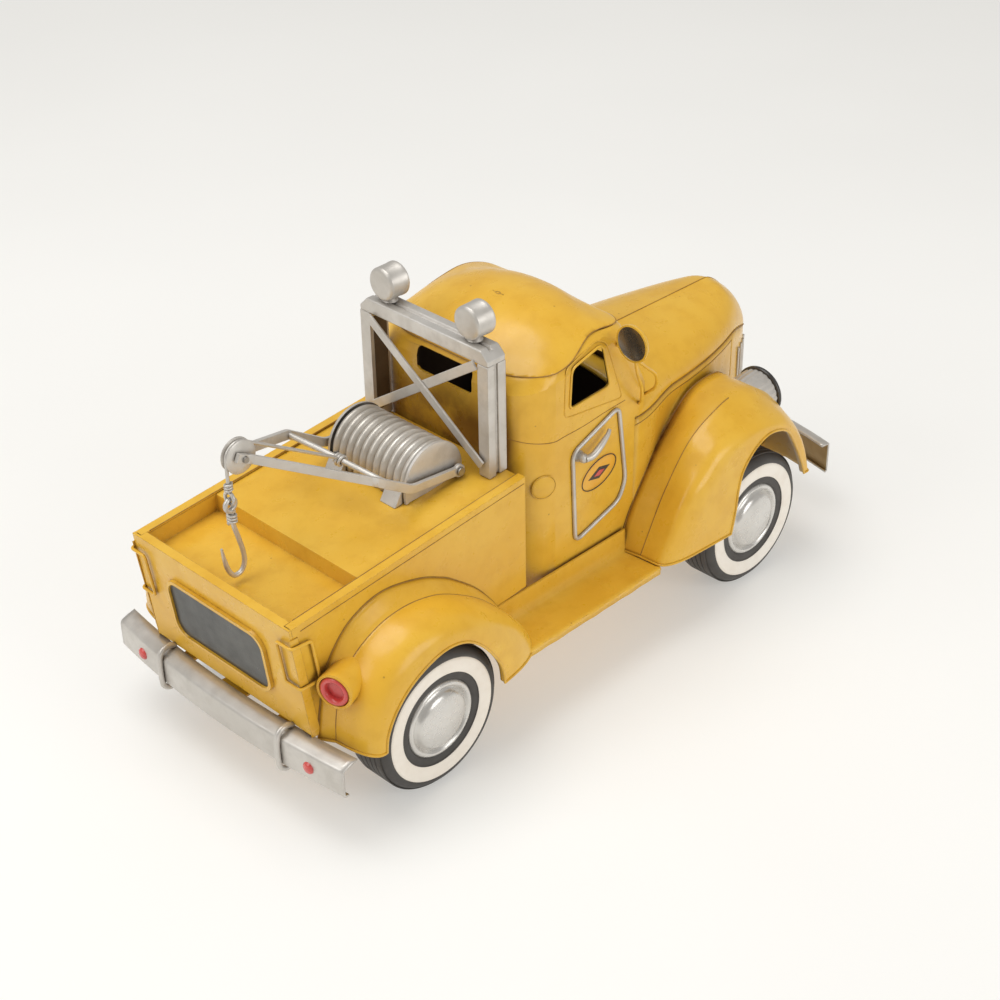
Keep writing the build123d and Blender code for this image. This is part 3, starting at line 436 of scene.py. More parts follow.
# ---------------- wheels
def wheel(end, side_name, x):
    """Tyre with a grooved tread and a cream wall, and the pressed hub inside it."""
    side = -1 if side_name == "right" else 1
    turn = TO_THE_RIGHT if side < 0 else Matrix.Rotation(radians(-90), 3, "X")
    place = (x, 0, WHEEL_Z)
    out, inner = TYRE_OUT, TYRE_IN
    pitch, groove_r = 3.6, TYRE_R - 0.55
    tread = []
    for i in range(5):
        y = inner + 7.5 + i * pitch
        tread += [(TYRE_R, y), (TYRE_R, y + 2.7), (groove_r, y + 2.95), (groove_r, y + 3.35)]
    outline = [(20.0, inner + 2), (24.0, inner + 0.6), (31.0, inner), (35.6, inner + 1.4),
               (38.2, inner + 4.4)] + tread + [(TYRE_R - 0.1, out - 5.4), (38.1, out - 2.8),
               (36.4, out - 0.9), (34.8, out - 0.1), (33.9, out + 0.1)]
    wall_start = len(outline)
    outline += [(33.5, out - 0.15), (33.1, out + 0.25), (32.0, out + 0.35), (30.0, out + 0.35),
                (27.6, out + 0.15), (26.0, out - 0.2), (25.5, out - 0.4)]
    wall_end = len(outline)
    outline += [(25.2, out - 0.9), (23.2, out - 0.9), (21.6, out - 1.0), (20.6, out - 1.9), (19.6, out - 3.4)]
    segments = 112
    points, faces = placed(lathe(outline, segments), turn, place)

    def choose(i):
        row = i // segments
        return 1 if wall_start <= row < wall_end - 1 else 0
    mesh_piece(f"tyre_{end}_{side_name}_carcass", points, faces, [RUBBER, CREAM],
               f"wheel_{end}_{side_name}", [f"tyre_{end}_{side_name}"], "tyre", choose, sharp=50)
    face = HUB_OUT
    cap = [(21.0, inner + 3), (21.0, out - 4.5), (20.9, out - 1.6), (20.3, out - 0.6), (19.2, out - 0.1),
           (18.3, out - 0.5), (17.8, out - 1.5), (17.2, out - 1.9), (16.4, out - 1.5), (15.7, out - 0.3),
           (15.1, out + 0.6), (13.8, out + 1.5), (11.4, face - 0.8), (8.6, face + 0.3), (5.6, face + 1.0),
           (2.7, face + 1.35), (0.02, face + 1.45)]
    points, faces = placed(lathe(cap), turn, place)
    mesh_piece(f"hub_{end}_{side_name}_cap", points, faces, [CHROME], f"wheel_{end}_{side_name}",
               [f"hub_{end}_{side_name}"], "silver_paint", sharp=55)


for end, x in (("rear", REAR_X), ("front", FRONT_X)):
    for side_name in ("right", "left"):
        wheel(end, side_name, x)


# ---------------- fenders
def fender_surface(root, seam, corner, lip, soft, fold=3.0, columns=96):
    """Rows from the body to the seam, round the shoulder to the lip, and the folded-in flange.

    Each curve is a list of (x, y, z) with y negative (right-hand side); soft is the share of
    the top and of the outer wall that the shoulder's round corner takes."""
    root, seam, corner, lip = (resample(catmull(c, 10), columns) for c in (root, seam, corner, lip))
    rows = []
    for t in (0.0, 0.25, 0.5, 0.75):
        rows.append([a.lerp(b, t) for a, b in zip(root, seam)])
    starts = [c.lerp(a, soft) for a, c in zip(seam, corner)]
    ends = [c.lerp(b, soft) for b, c in zip(lip, corner)]
    for t in (0.0, 0.35, 0.7):
        rows.append([a.lerp(b, t) for a, b in zip(seam, starts)])
    for i in range(13):
        t = i / 12
        rows.append([a * (1 - t) ** 2 + c * 2 * t * (1 - t) + b * t ** 2
                     for a, c, b in zip(starts, corner, ends)])
    for t in (0.35, 0.7, 1.0):
        rows.append([a.lerp(b, t) for a, b in zip(ends, lip)])
    for depth in (0.5 * fold, fold):
        rows.append([p + Vector((0, depth, 0)) for p in lip])
    points = [p for row in rows for p in row]
    first = [row[0] for row in rows[:-2]]
    last = [row[-1] for row in rows[:-2]]
    return points, grid_faces(len(rows), columns), (root, seam, lip, first, last)


def around(x, points):
    """Offsets (dx, |y|, dz) from a wheel centre turned into places on the right-hand side."""
    return [(x + dx, -y, WHEEL_Z + dz) for dx, y, dz in points]


Y0, Y1, Y2 = BODY_Y + 0.2, BODY_Y + 8.0, FENDER_Y + 1.2
REAR_ROOT = around(REAR_X, [(-57, Y0, 8.5), (-54.5, Y0, 26), (-50.5, Y0, 42), (-44, Y0, 54), (-32, Y0, 65),
                            (-13, Y0, 70.5), (10.3, Y0, 66), (26.5, Y0, 58.4), (34.7, Y0, 52.7),
                            (48.1, Y0, 41.3), (58.3, Y0, 29.1), (62.6, Y0, 22.2), (69, Y0, 9)])
REAR_SEAM = around(REAR_X, [(-52.5, Y1, 8.5), (-51.5, Y1, 22), (-47.5, Y1, 39), (-38, Y1, 51.5),
                            (-22, Y1, 60), (-5.4, Y1, 62.1), (10.7, Y1, 59.4), (23.7, Y1, 53.8),
                            (40.3, Y1, 43.1), (52.2, Y1, 32.3), (62, Y1 - 2, 21), (68, Y1, 9)])
REAR_CORNER = around(REAR_X, [(-50, Y2, 8.5), (-50, Y2, 20), (-46, Y2, 37), (-37, Y2, 49), (-22, Y2, 57.5),
                              (-6, Y2, 60), (11, Y2, 57.5), (25, Y2, 51), (41, Y2, 40),
                              (57, Y2 - 1, 28), (67, Y2 - 2, 17), (71.5, Y2 - 3, 7.5)])
REAR_LIP = around(REAR_X, [(-41.5, Y2, 8.5), (-40, Y2, 18), (-34, Y2, 29), (-24, Y2, 38.5), (-11.5, Y2, 44.6),
                           (0, Y2, 46.7), (11.3, Y2, 44.1), (21.1, Y2, 36.8), (29.3, Y2, 26.4),
                           (35.2, Y2, 15.8), (37.0, Y2, 5.0)])
FRONT_ROOT = around(FRONT_X, [(-83, 56.4, 9.6), (-76, 56.4, 27.4), (-66.4, 56.0, 41.8), (-57, 54.0, 51),
                              (-48, 51.0, 57), (-39, 49.0, 61.5), (-27, 47.5, 69.5), (-16.3, 46.6, 75.2),
                              (-3.8, 46, 77), (11.4, 44, 73.9), (28, 38, 60), (42, 32, 38), (50, 29, 9)])
FRONT_SEAM = around(FRONT_X, [(-81, 70, 9.6), (-74.5, 70, 21.8), (-62.3, 70, 42.8), (-43.2, 70, 65.3),
                              (-21.2, 70, 75.6), (-6, 69.5, 77.5), (9, 69, 74.5), (24, 68, 65),
                              (38, 66.5, 50.5), (49, 65, 30), (54, 64, 9)])
FRONT_CORNER = around(FRONT_X, [(-80, Y2 - 1, 9.5), (-72.4, Y2, 27.5), (-62.2, Y2, 44.5), (-50.6, Y2, 53),
                                (-38.9, Y2, 61.6), (-22.5, Y2, 65.2), (-8, Y2, 65.5), (6, Y2, 62),
                                (20, Y2 - 1, 56.5), (32, Y2 - 3, 45.5), (43, Y2 - 5, 29), (51, Y2 - 7, 9)])
FRONT_LIP = around(FRONT_X, [(-28.4, Y2, 7.0), (-25.5, Y2, 20), (-23.9, Y2, 33), (-20.5, Y2, 44.2),
                             (-10.7, Y2, 53.9), (1.8, Y2, 57.7), (16.7, Y2 - 1, 52.4), (27.3, Y2 - 3, 40.5),
                             (39.5, Y2 - 5.5, 20.9), (46.2, Y2 - 7.5, 8.7)])
OPENING_R = 43.5
RIM_BEAD_R, END_BEAD_R, SEAM_LINE_R, ROOT_LINE_R = 0.7, 0.65, 0.27, 0.32


def fender(name, curves, soft, seam_share):
    """Both fenders of an axle; brown lines follow the root and seam_share of the seam."""
    points, faces, (root, seam, lip, first, last) = fender_surface(*curves, soft)
    rim = [p + Vector((0, -0.1, 0)) for p in lip]
    wires = merge(tube_mesh(rim, RIM_BEAD_R, 8), *[tube_mesh(end, END_BEAD_R, 8) for end in (first, last)])
    shown = seam[:int(len(seam) * seam_share)]
    lines = merge(tube_mesh(shown, SEAM_LINE_R, 8), tube_mesh(root, ROOT_LINE_R, 8))
    for side_name in ("right", "left"):
        shell, beads, dark = (points, faces), wires, lines
        if side_name == "left":
            shell, beads, dark = mirror_y(shell), mirror_y(beads), mirror_y(dark)
        mesh_piece(f"{name}_{side_name}_shell", *shell, [YELLOW], "chassis", [f"{name}_{side_name}"],
                   sheet=1.2, sharp=70)
        mesh_piece(f"{name}_{side_name}_beads", *beads, [YELLOW])
        mesh_piece(f"{name}_{side_name}_seams", *dark, [CREASE])


fender("rear_fender", (REAR_ROOT, REAR_SEAM, REAR_CORNER, REAR_LIP), 0.85, 0.86)
fender("front_fender", (FRONT_ROOT, FRONT_SEAM, FRONT_CORNER, FRONT_LIP), 0.42, 0.5)


def running_boards():
    """Flat step with a folded outer edge and an apron that rises to the body."""
    profile = [(-57.9, 61.0), (-58.6, 60.6), (-59.4, 54.5), (-60.2, 49.2), (-61.4, 48.2), (-70.0, 47.8),
               (-81.5, 48.0), (-83.4, 48.3), (-84.2, 47.7), (-84.3, 46.6), (-83.8, 45.8), (-83.9, 43.6)]
    count = 60
    points = []
    for i in range(count):
        x = -75.0 + 103.6 * i / (count - 1)
        wave = 0.25 * sin(0.35 * x) * sin(0.11 * x + 1)
        points += [Vector((x, y - (wave if z < 47 else 0), z)) for y, z in profile]
    board = points, grid_faces(count, len(profile))
    for side_name, part in (("right", board), ("left", mirror_y(board))):
        mesh_piece(f"running_board_{side_name}_step", *part, [YELLOW], "chassis",
                   [f"running_board_{side_name}"], sheet=0.9, sharp=50)


running_boards()


# ---------------- cab and roof
ROOF_FRONT, ROOF_BASE, ROOF_RISE, ROOF_POWER = 33.5, 172.0, 21.2, 1.9
ROOF_TILT = radians(9.0)
OVAL_POWER, BLEND_HEIGHT = 2.15, 6.0
SEAM_LINE = [(-44.5, 174.0), (-15.0, 174.5), (9.0, 183.0), (32.0, 181.0)]


def rounded_plan(half_x, half_y, rear, front, per_corner=12, per_side=10):
    """Outline of a rectangle with round corners, walked from its front left one."""
    corners = [(half_x - front, half_y - front, front, 0), (rear - half_x, half_y - rear, rear, 90),
               (rear - half_x, rear - half_y, rear, 180), (half_x - front, front - half_y, front, 270)]
    out = []
    for i, (x, y, radius, start) in enumerate(corners):
        arc = []
        for k in range(per_corner + 1):
            turn = radians(start + 90 * k / per_corner)
            arc.append(Vector((x + radius * cos(turn), y + radius * sin(turn))))
        out += arc
        nx, ny, nr, ns = corners[(i + 1) % 4]
        goal = Vector((nx + nr * cos(radians(ns)), ny + nr * sin(radians(ns))))
        out += [arc[-1].lerp(goal, k / per_side) for k in range(1, per_side)]
    return out


def roof_ring(share, seam):
    """Ring of the dome: the cab's own outline at the seam, turning oval over BLEND_HEIGHT above it."""
    scale = (1 - share ** ROOF_POWER) ** (1 / ROOF_POWER)
    rear_x = CAB_LOW.x
    half_x = (ROOF_FRONT - rear_x) / 2 * scale / cos(ROOF_TILT)
    half_y = CAB_HIGH.y * scale
    widest = 0.94 * half_x
    rear = min(22.0 + share * 16, widest)
    front = min(12.0 + share * 24, widest)
    middle = (ROOF_FRONT + rear_x) / 2
    base = ROOF_BASE + share * ROOF_RISE
    ring = []
    for p in rounded_plan(half_x, half_y, rear, front):
        aim = p.normalized()
        spread = abs(aim.x / half_x) ** OVAL_POWER + abs(aim.y / half_y) ** OVAL_POWER
        reach = spread ** (-1 / OVAL_POWER)
        x, z = middle + p.x * cos(ROOF_TILT), base + p.x * sin(ROOF_TILT)
        q = p.lerp(aim * reach, ease((z - line_height(x, seam)) / BLEND_HEIGHT))
        ring.append(Vector((middle + q.x * cos(ROOF_TILT), q.y, base + q.x * sin(ROOF_TILT))))
    return ring


def line_height(x, line):
    """Height of a polyline of (x, z) points at x."""
    for a, b in zip(line, line[1:]):
        if x <= b[0] or b is line[-1]:
            return a[1] + (x - a[0]) * (b[1] - a[1]) / (b[0] - a[0])


def roof():
    """Dome whose lower edge slides up its own surface to the curved seam line."""
    shares = [0.03 * i for i in range(14)]
    shares += [0.42 + 0.58 * sin(pi / 2 * i / 22) for i in range(1, 22)] + [0.9985]
    soft_seam = [tuple(p) for p in catmull([(x, z, 0) for x, z in SEAM_LINE], 8)]
    rings = [roof_ring(s, soft_seam) for s in shares]
    columns = len(rings[0])
    rows = []
    for i, ring in enumerate(rings):
        row = []
        for j, p in enumerate(ring):
            seam = line_height(p.x, soft_seam)
            if p.z < seam:                                   # slide up the surface to the seam
                for k in range(i, len(rings)):
                    q = rings[k][j]
                    if q.z >= line_height(q.x, soft_seam):
                        before = rings[max(k - 1, 0)][j]
                        gap0 = before.z - line_height(before.x, soft_seam)
                        gap1 = q.z - line_height(q.x, soft_seam)
                        p = before.lerp(q, -gap0 / max(gap1 - gap0, 1e-6))
                        break
            row.append(p)
        rows.append(row)
    points = [p for row in rows for p in row]
    faces = grid_faces(len(rows), columns, close_columns=True)
    faces.append(tuple((len(rows) - 1) * columns + k for k in range(columns)))
    mesh_piece("cab_roof_dome", points, faces, [CAB_YELLOW], "chassis", ["cab_roof"], sheet=1.2, sharp=75)
    wire_piece("roof_seam_bead", [(resample(rows[0], 160, True), 0.28, True)], CREASE)


roof()


# ---------------- hood and nose
PROW_X, HOOD_HALF, HOOD_BACK = HOOD_FRONT + 3.0, 47.0, 37.0
TAPER_X = 45.0                                         # where the plan starts to narrow
FLARE_X, FLARE_LENGTH = 84.0, 46.0                     # where it starts to widen towards the cab
HOOD_EDGE_R, HOOD_FOLD_R, HOOD_CENTRE_R = 0.32, 0.2, 0.26


def hood_half(x):
    """Half-width in plan: flared to the cab's width at the back, then a boat-like prow."""
    t = min(max((x - TAPER_X) / (PROW_X + 0.5 - TAPER_X), 0), 1)
    widen = (CAB_HIGH.y + 0.15 - HOOD_HALF) * ease((FLARE_X - x) / FLARE_LENGTH)
    return HOOD_HALF * (1 - t ** 2.1) ** 0.74 + widen


def hood_seam(x):
    """Height of the seam along the hood's edge, which falls away towards the nose."""
    return 124.0 - 0.04 * (x - TAPER_X) - 21.0 * (max(x - 150, 0) / 48) ** 1.5


def hood_top(x):
    """Height of the hood's centre line."""
    return 142.5 - 0.018 * (x - TAPER_X) - 42.0 * (max(x - 160, 0) / 38) ** 1.6


def hood():
    """Domed top sheet from the cab to the prow, with brown lines on its folds."""
    count, across = 70, 48
    length = PROW_X - 1.1 - HOOD_BACK
    xs = [HOOD_BACK + length * sin(pi / 2 * i / (count - 1)) ** 0.9 for i in range(count)]
    points = []
    for x in xs:
        half, spring, top = hood_half(x), hood_seam(x), max(hood_top(x), hood_seam(x) + 1.2)
        for k in range(across + 1):
            turn = pi * k / across
            peak = 1.0 + 0.018 * max(0.0, 1 - abs(cos(turn)) * 6)
            points.append(Vector((x, half * cos(turn), spring + (top - spring) * sin(turn) ** 0.94 * peak)))
    faces = grid_faces(count, across + 1)
    faces.append(tuple(range((count - 1) * (across + 1), count * (across + 1))))      # closes the prow
    mesh_piece("hood_shell", points, faces, [YELLOW], "chassis", ["hood"], sheet=1.2, sharp=75)
    beads = []
    for side in (-1, 1):
        edge = [Vector((x, side * (hood_half(x) + 0.15), hood_seam(x))) for x in xs]
        beads.append((edge, HOOD_EDGE_R, False))
        fold = [Vector((x, side * (hood_half(x) + 0.1), hood_seam(x) - 4.2)) for x in xs if x < 150]
        beads.append((fold, HOOD_FOLD_R, False))
    beads.append(([Vector((x, 0, hood_top(x) + 0.45)) for x in xs[:-4]], HOOD_CENTRE_R, False))
    wire_piece("hood_edge_beads", beads, CREASE)


def nose_wall(name, node_name, x0, x1, foot, count=40):
    """Upright walls below the hood seam, joined at the prow when they reach it."""
    sides = []
    for side in (-1, 1):
        row = []
        for i in range(count):
            x = x0 + (x1 - x0) * (1 - (1 - i / (count - 1)) ** 1.6)
            row.append((x, side * hood_half(x)))
        sides.append(row)
    outline = sides[0] + list(reversed(sides[1]))
    levels = 12
    points = []
    for level in range(levels + 1):
        for x, y in outline:
            low = foot(x)
            points.append(Vector((x, y, low + (hood_seam(x) - 0.8 - low) * level / levels)))
    faces = grid_faces(levels + 1, len(outline))
    if x1 < PROW_X - 5:                                     # leave the two sides apart
        faces = [f for f in faces if not any(i % len(outline) == count - 1 for i in f)
                 or not any(i % len(outline) == count for i in f)]
    mesh_piece(name, points, faces, [YELLOW], "chassis", [node_name], sheet=1.2, sharp=75)


def cowl_foot(x):
    """Lower edge of the cowl wall, cut round the wheel opening."""
    reach = abs(x - FRONT_X)
    arch = WHEEL_Z + sqrt(max(OPENING_R ** 2 - reach ** 2, 0)) if reach < OPENING_R else 0
    return max(54.0, arch)


hood()
nose_wall("cowl_side_walls", "cowl_sides", HOOD_BACK, 150.0, cowl_foot)
nose_wall("grille_nose", "grille_shell", 150.5, PROW_X, lambda x: 54.0)


def grille_strips():
    parts = []
    for i in range(5):
        x = 193.0 - 7.0 * i
        y = hood_half(x) + 0.3
        for side in (-1, 1):
            path = [Vector((x, side * y, z)) for z in (60.0, 80.0, hood_seam(x) - 5 - 2 * i)]
            parts.append((path, 0.95, False))
    wire_piece("grille_strips", parts, SILVER, nodes=["grille_bars"], slot="silver_paint")


grille_strips()


# ---------------- winch cover
def winch():
    """Drum cover: eleven rounded ribs over the top and a dished plate at each end."""
    low, high = span("winch_cover")
    centre_x, radius, half = (low.x + high.x) / 2, (high.x - low.x) / 2, high.y
    centre_z, foot = high.z - radius, low.z + 0.5
    ribs, columns = 11, 44
    path = [(-radius, foot - centre_z), (-radius, (foot - centre_z) / 2)]
    arc = [(-radius * cos(pi * k / columns), radius * sin(pi * k / columns)) for k in range(columns + 1)]
    walk = path + arc + [(radius, (foot - centre_z) / 2), (radius, foot - centre_z)]

    def row(y, inset):
        share = 1 - inset / radius
        return [Vector((centre_x + x * share, y, centre_z + (z * share if z > 0 else z))) for x, z in walk]
    rows = []
    steps = ribs * 10
    reach = half - 1.4
    for i in range(steps + 1):
        y = -reach + 2 * reach * i / steps
        swell = abs(sin(pi * ribs * i / steps)) ** 0.75
        rows.append(row(y, 2.5 - 2.1 * swell))
    points = [p for r in rows for p in r]
    faces = grid_faces(len(rows), len(walk))
    mesh_piece("winch_cover_ribs", points, faces, [SHADOWED], "chassis", ["winch_cover"], "silver_paint",
               sheet=0.8, sharp=60)
    plates = []
    for side in (-1, 1):
        outer, inner = row(side * half, 0.0), row(side * (half - 1.5), 0.0)
        dish = row(side * (half + 0.1), 1.1)
        middle = [p.lerp(Vector((centre_x, side * half, centre_z)), 0.08) for p in dish]
        plate = inner + outer + dish + middle
        n = len(walk)
        made = grid_faces(4, n)
        made.append(tuple(range(3 * n, 4 * n)))
        plates.append((plate, made))
    silver_piece("winch_cover_ends", merge(*plates), sharp=35)


winch()


# ---------------- lamps
def along_x(part, x, y, z):
    return placed(part, FORWARD, (x, y, z))


def pair(part):
    """The part on the right-hand side and its mirror image on the left."""
    return merge(part, mirror_y(part))


def work_lamps():
    low, high = span("work_lamps")
    radius = 8.7
    y, z = -(high.y - radius), high.z - radius
    x0, x1 = low.x, high.x
    depth = x1 - x0
    shape = [(0.02, 0), (radius - 2.2, 0.0), (radius - 0.9, 0.25), (radius - 0.2, 0.9), (radius, 1.7),
             (radius, depth - 2.4), (radius + 0.15, depth - 2.2), (radius + 0.15, depth - 0.5),
             (radius - 0.3, depth), (radius - 1.2, depth), (radius - 1.5, depth - 0.7), (0.02, depth - 0.3)]
    lamp = along_x(lathe(shape, 72), x0, y, z)
    foot_path = [Vector(((x0 + x1) / 2, y, z - radius + 0.6)), Vector(((x0 + x1) / 2, y, low.z + 0.1))]
    foot = tube_mesh(foot_path, [2.6, 4.2], 16)
    silver_piece("work_lamp_drums", pair(merge(lamp, foot)), "work_lamps", sharp=40)


def tail_lamps():
    low, high = span("tail_lamp_housings")
    radius = (high.z - low.z) / 2
    x, y, z = low.x, low.y + radius, (low.z + high.z) / 2
    length = 22.0
    shell = [(radius - 0.15, length), (radius, 2.6), (radius + 0.1, 1.2), (radius - 0.1, 0.1),
             (radius - 0.9, -0.35), (radius - 1.5, 0.0), (radius - 1.8, 1.2), (radius - 1.8, 5.0)]
    outward = Matrix.Rotation(radians(17), 3, "Z") @ FORWARD
    place = (x + 1.0, y + 0.5, z)
    mesh_piece("tail_lamp_tubes", *pair(placed(lathe(shell, 64), outward, place)), [YELLOW],
               nodes=["tail_lamp_housings"], sharp=50)
    rim = radius - 1.9
    lens = [(rim, 4.0), (rim, 0.5), (rim - 0.5, -0.3), (rim - 1.6, -0.6), (rim - 2.5, -0.1), (rim - 2.9, 1.2),
            (rim - 3.1, 2.6), (0.02, 2.9)]
    mesh_piece("tail_lamp_red_rings", *pair(placed(lathe(lens, 64), outward, place)), [RED],
               nodes=["tail_lamp_lenses"], slot="red_lens", sharp=50)


def headlamps():
    x, y, z, radius, length = 142.0, -56.0, 96.0, 14.0, 36.0
    ribs, segments = 12, 96
    points, rows = [], []
    for i in range(26):
        t = i / 25
        size = radius * (1 - (1 - t) ** 2.2) ** 0.62
        rows.append((t * (length - 1), size))
    for place, size in rows:
        for k in range(segments):
            turn = 2 * pi * k / segments
            flute = 1 - 0.035 * (1 - abs(sin(ribs * turn))) * min(1, place / 14)
            points.append(Vector((size * flute * cos(turn), size * flute * sin(turn), place)))
    shell = points, grid_faces(len(rows), segments, close_columns=True)
    shell = along_x(shell, x - length, y, z)
    silver_piece("headlamp_fluted_shells", pair(shell), "headlamp_shells")
    ring = [(radius - 0.6, -0.6), (radius + 0.5, -0.5), (radius + 1.0, 0.4), (radius + 0.9, 1.6),
            (radius - 0.4, 2.4), (radius - 1.5, 2.2), (radius - 1.7, 1.2)]
    mesh_piece("headlamp_black_rims", *pair(along_x(lathe(ring, 80), x, y, z)), [BLACK],
               nodes=["headlamp_rims"], slot="black_paint", sharp=60)
    lens = [(radius - 1.5, 1.4), (radius - 1.7, 1.9), (radius * 0.6, 3.4), (radius * 0.3, 4.1), (0.02, 4.3)]
    mesh_piece("headlamp_domed_lenses", *pair(along_x(lathe(lens, 80), x, y, z)), [LENS],
               nodes=["headlamp_lenses"], slot="clear_lens", sharp=60)


work_lamps()
tail_lamps()
headlamps()


# ---------------- mirror, door fittings and badge
def mirror_disc():
    low, high = span("mirror_head")
    radius = (high.z - low.z) / 2
    y, z = (low.y + high.y) / 2, (low.z + high.z) / 2
    shape = [(0.02, 0.35), (radius - 1.3, 0.3), (radius - 1.0, 0.0)]
    glass = along_x(lathe(shape, 72), low.x, y, z)
    mesh_piece("mirror_glass", *glass, [SMOKE], nodes=["mirror_head"], slot="mirror", sharp=50)
    rim = [(radius - 1.1, 0.4), (radius - 0.9, -0.35), (radius - 0.1, -0.3), (radius + 0.1, 0.6),
           (radius - 0.3, 1.8), (radius - 2.5, 3.0), (radius - 6.0, 3.7), (0.02, 3.9)]
    mesh_piece("mirror_rim_and_back", *along_x(lathe(rim, 72), low.x, y, z), [YELLOW], sharp=50)


mirror_disc()
SIDE_Y = CAB_HIGH.y


def door_wires():
    y = -SIDE_Y - 0.75
    outline = [(-8.5, y, 70), (-11.0, y, 124.5), (23.5, y, 137.5), (30.0, y, 91), (25.0, y, 80)]
    loop = resample(rounded_path(outline, 5.0, True), 150, True)
    made = tube_mesh(loop, 1.15, 10, True)
    silver_piece("door_outline_wires", pair(made), "door_trim", sharp=70)
    profile = [(0.02, 5.4), (1.4, 5.2), (2.3, 4.4), (2.6, 3.0), (2.2, 1.6), (2.9, 0.8), (3.2, 0)]
    boss = placed(lathe(profile, 40), TO_THE_RIGHT, (-5.5, -SIDE_Y, 120.5))
    route = [(-5.5, 4.4, 120.5), (-1, 5.3, 120.9), (5, 5.2, 124.0), (11, 4.4, 127.4), (13.6, 3.4, 129.2)]
    path = resample(catmull([(x, -SIDE_Y - out, z) for x, out, z in route], 10), 36)
    radii = [1.9 - 0.9 * (i / 35) + 0.35 * sin(pi * i / 35) for i in range(36)]
    lever = tube_mesh(path, radii, 14)
    silver_piece("door_handle_levers", pair(merge(boss, lever)), "door_handle")


def cab_side(x, z):
    """|y| of the cab's side at the place given: upright below the seam plane, curving in above it."""
    share = (z - ROOF_BASE - (x - (CAB_LOW.x + ROOF_FRONT) / 2) * sin(ROOF_TILT)) / ROOF_RISE
    return SIDE_Y * (1 - min(max(share, 0.0), 0.95) ** ROOF_POWER) ** (1 / ROOF_POWER)


def on_side(points, lift):
    return [Vector((x, -cab_side(x, z) - lift, z)) for x, _, z in points]


def window_beads():
    outline = [(-12.8, 0, 150.6), (-11.4, 0, 172.8), (11.2, 0, 177.8), (17.2, 0, 152.0)]
    frame_line = [(-16.6, 0, 147.0), (-15.6, 0, 173.5), (9.2, 0, 180.0), (14.0, 0, 178.0), (27.0, 0, 141.0)]
    loop = resample(rounded_path(outline, 3.5, True), 110, True)
    outer = resample(rounded_path(frame_line, 4.0, True), 150, True)
    made = merge(tube_mesh(on_side(loop, 0.1), 0.7, 8, True), tube_mesh(on_side(outer, 0.0), 0.4, 8, True))
    mesh_piece("side_window_beads", *pair(made), [YELLOW], sharp=70)


def round_boss():
    """Pressed round boss low on the rounded rear corner of the cab."""
    radius = 6.6
    disc = lathe([(0.02, 0.35), (radius - 0.7, 0.35), (radius, -0.2), (radius + 0.2, -1.6)], 64)
    ring = tube_mesh([Vector((radius * cos(2 * pi * k / 64), radius * sin(2 * pi * k / 64), -0.1))
                      for k in range(64)], 0.3, 8, True)
    turn = Matrix.Rotation(radians(-20), 3, "Z") @ TO_THE_RIGHT
    made = placed(merge(disc, ring), turn, (-30.3, -SIDE_Y + 1.0, 112.7))
    mesh_piece("cab_round_boss", *pair(made), [YELLOW], sharp=50)


def door_badge():
    """Generic badge on each door: an oval ring round a plain lozenge."""
    y, cx, cz, half_w, half_h = -SIDE_Y - 0.35, 9.5, 104.0, 14.0, 8.6
    rise = radians(10)

    def spot(u, v, lift=0.0):
        return Vector((cx + u * cos(rise), y - lift, cz + v + u * sin(rise)))
    count = 64
    rings = []
    for size in (0.02, 0.5, 0.95, 1.0):
        rings.append([spot(half_w * size * cos(2 * pi * k / count), half_h * size * sin(2 * pi * k / count),
                           0.0 if size < 1 else -0.5) for k in range(count)])
    oval = [p for ring in rings for p in ring], grid_faces(4, count, close_columns=True)
    mesh_piece("door_badge_ground", *pair(oval), [AMBER], sharp=60)
    edge = [spot(half_w * 0.93 * cos(2 * pi * k / count), half_h * 0.93 * sin(2 * pi * k / count), 0.1)
            for k in range(count)]
    mesh_piece("door_badge_ring", *pair(tube_mesh(edge, 0.3, 8, True)), [INK], sharp=60)
    for name, u, v, paint in (("dark", 8.4, 3.4, INK), ("red", 4.2, 1.7, RED)):
        lift = 0.2 if paint is INK else 0.45
        tips = [spot(u, 0, lift), spot(0, v, lift), spot(-u, 0, lift), spot(0, -v, lift)]
        back = [p + Vector((0, 0.6, 0)) for p in tips]
        mesh_piece(f"door_badge_{name}_lozenge", *pair((tips + back, SLAB_FACES)), [paint],
                   sharp=30, bevel=0.15)


door_wires()
window_beads()
round_boss()
door_badge()


# ---------------- bumpers
def bumper(name, node_name, outer, inner_dir, half, face_x, bow, z0, z1, flange, rise):
    """Bowed channel of thin sheet: sloping top flange, tall face, lower flange."""
    profile = [(flange, z1 + rise), (flange * 0.5, z1 + rise * 0.62), (0.7, z1 + rise * 0.15),
               (0.2, z1 - 0.2), (0.0, z1 - 0.9), (0.0, (z0 + z1) / 2), (0.0, z0 + 0.9),
               (0.25, z0 + 0.25), (1.0, z0), (2.2, z0)]
    count = 61
    points = []
    for i in range(count):
        y = -half + 2 * half * i / (count - 1)
        x_face = face_x + inner_dir * bow * (y / half) ** 2
        for depth, z in profile:
            points.append(Vector((x_face + inner_dir * depth, y, z)))
    faces = grid_faces(count, len(profile))
    piece = mesh_piece(name, points, faces, [SILVER, GOLDEN], "chassis", [node_name], "silver_paint",
                       sheet=outer * 1.1, sharp=40)
    piece.modifiers["sheet"].material_offset = 1


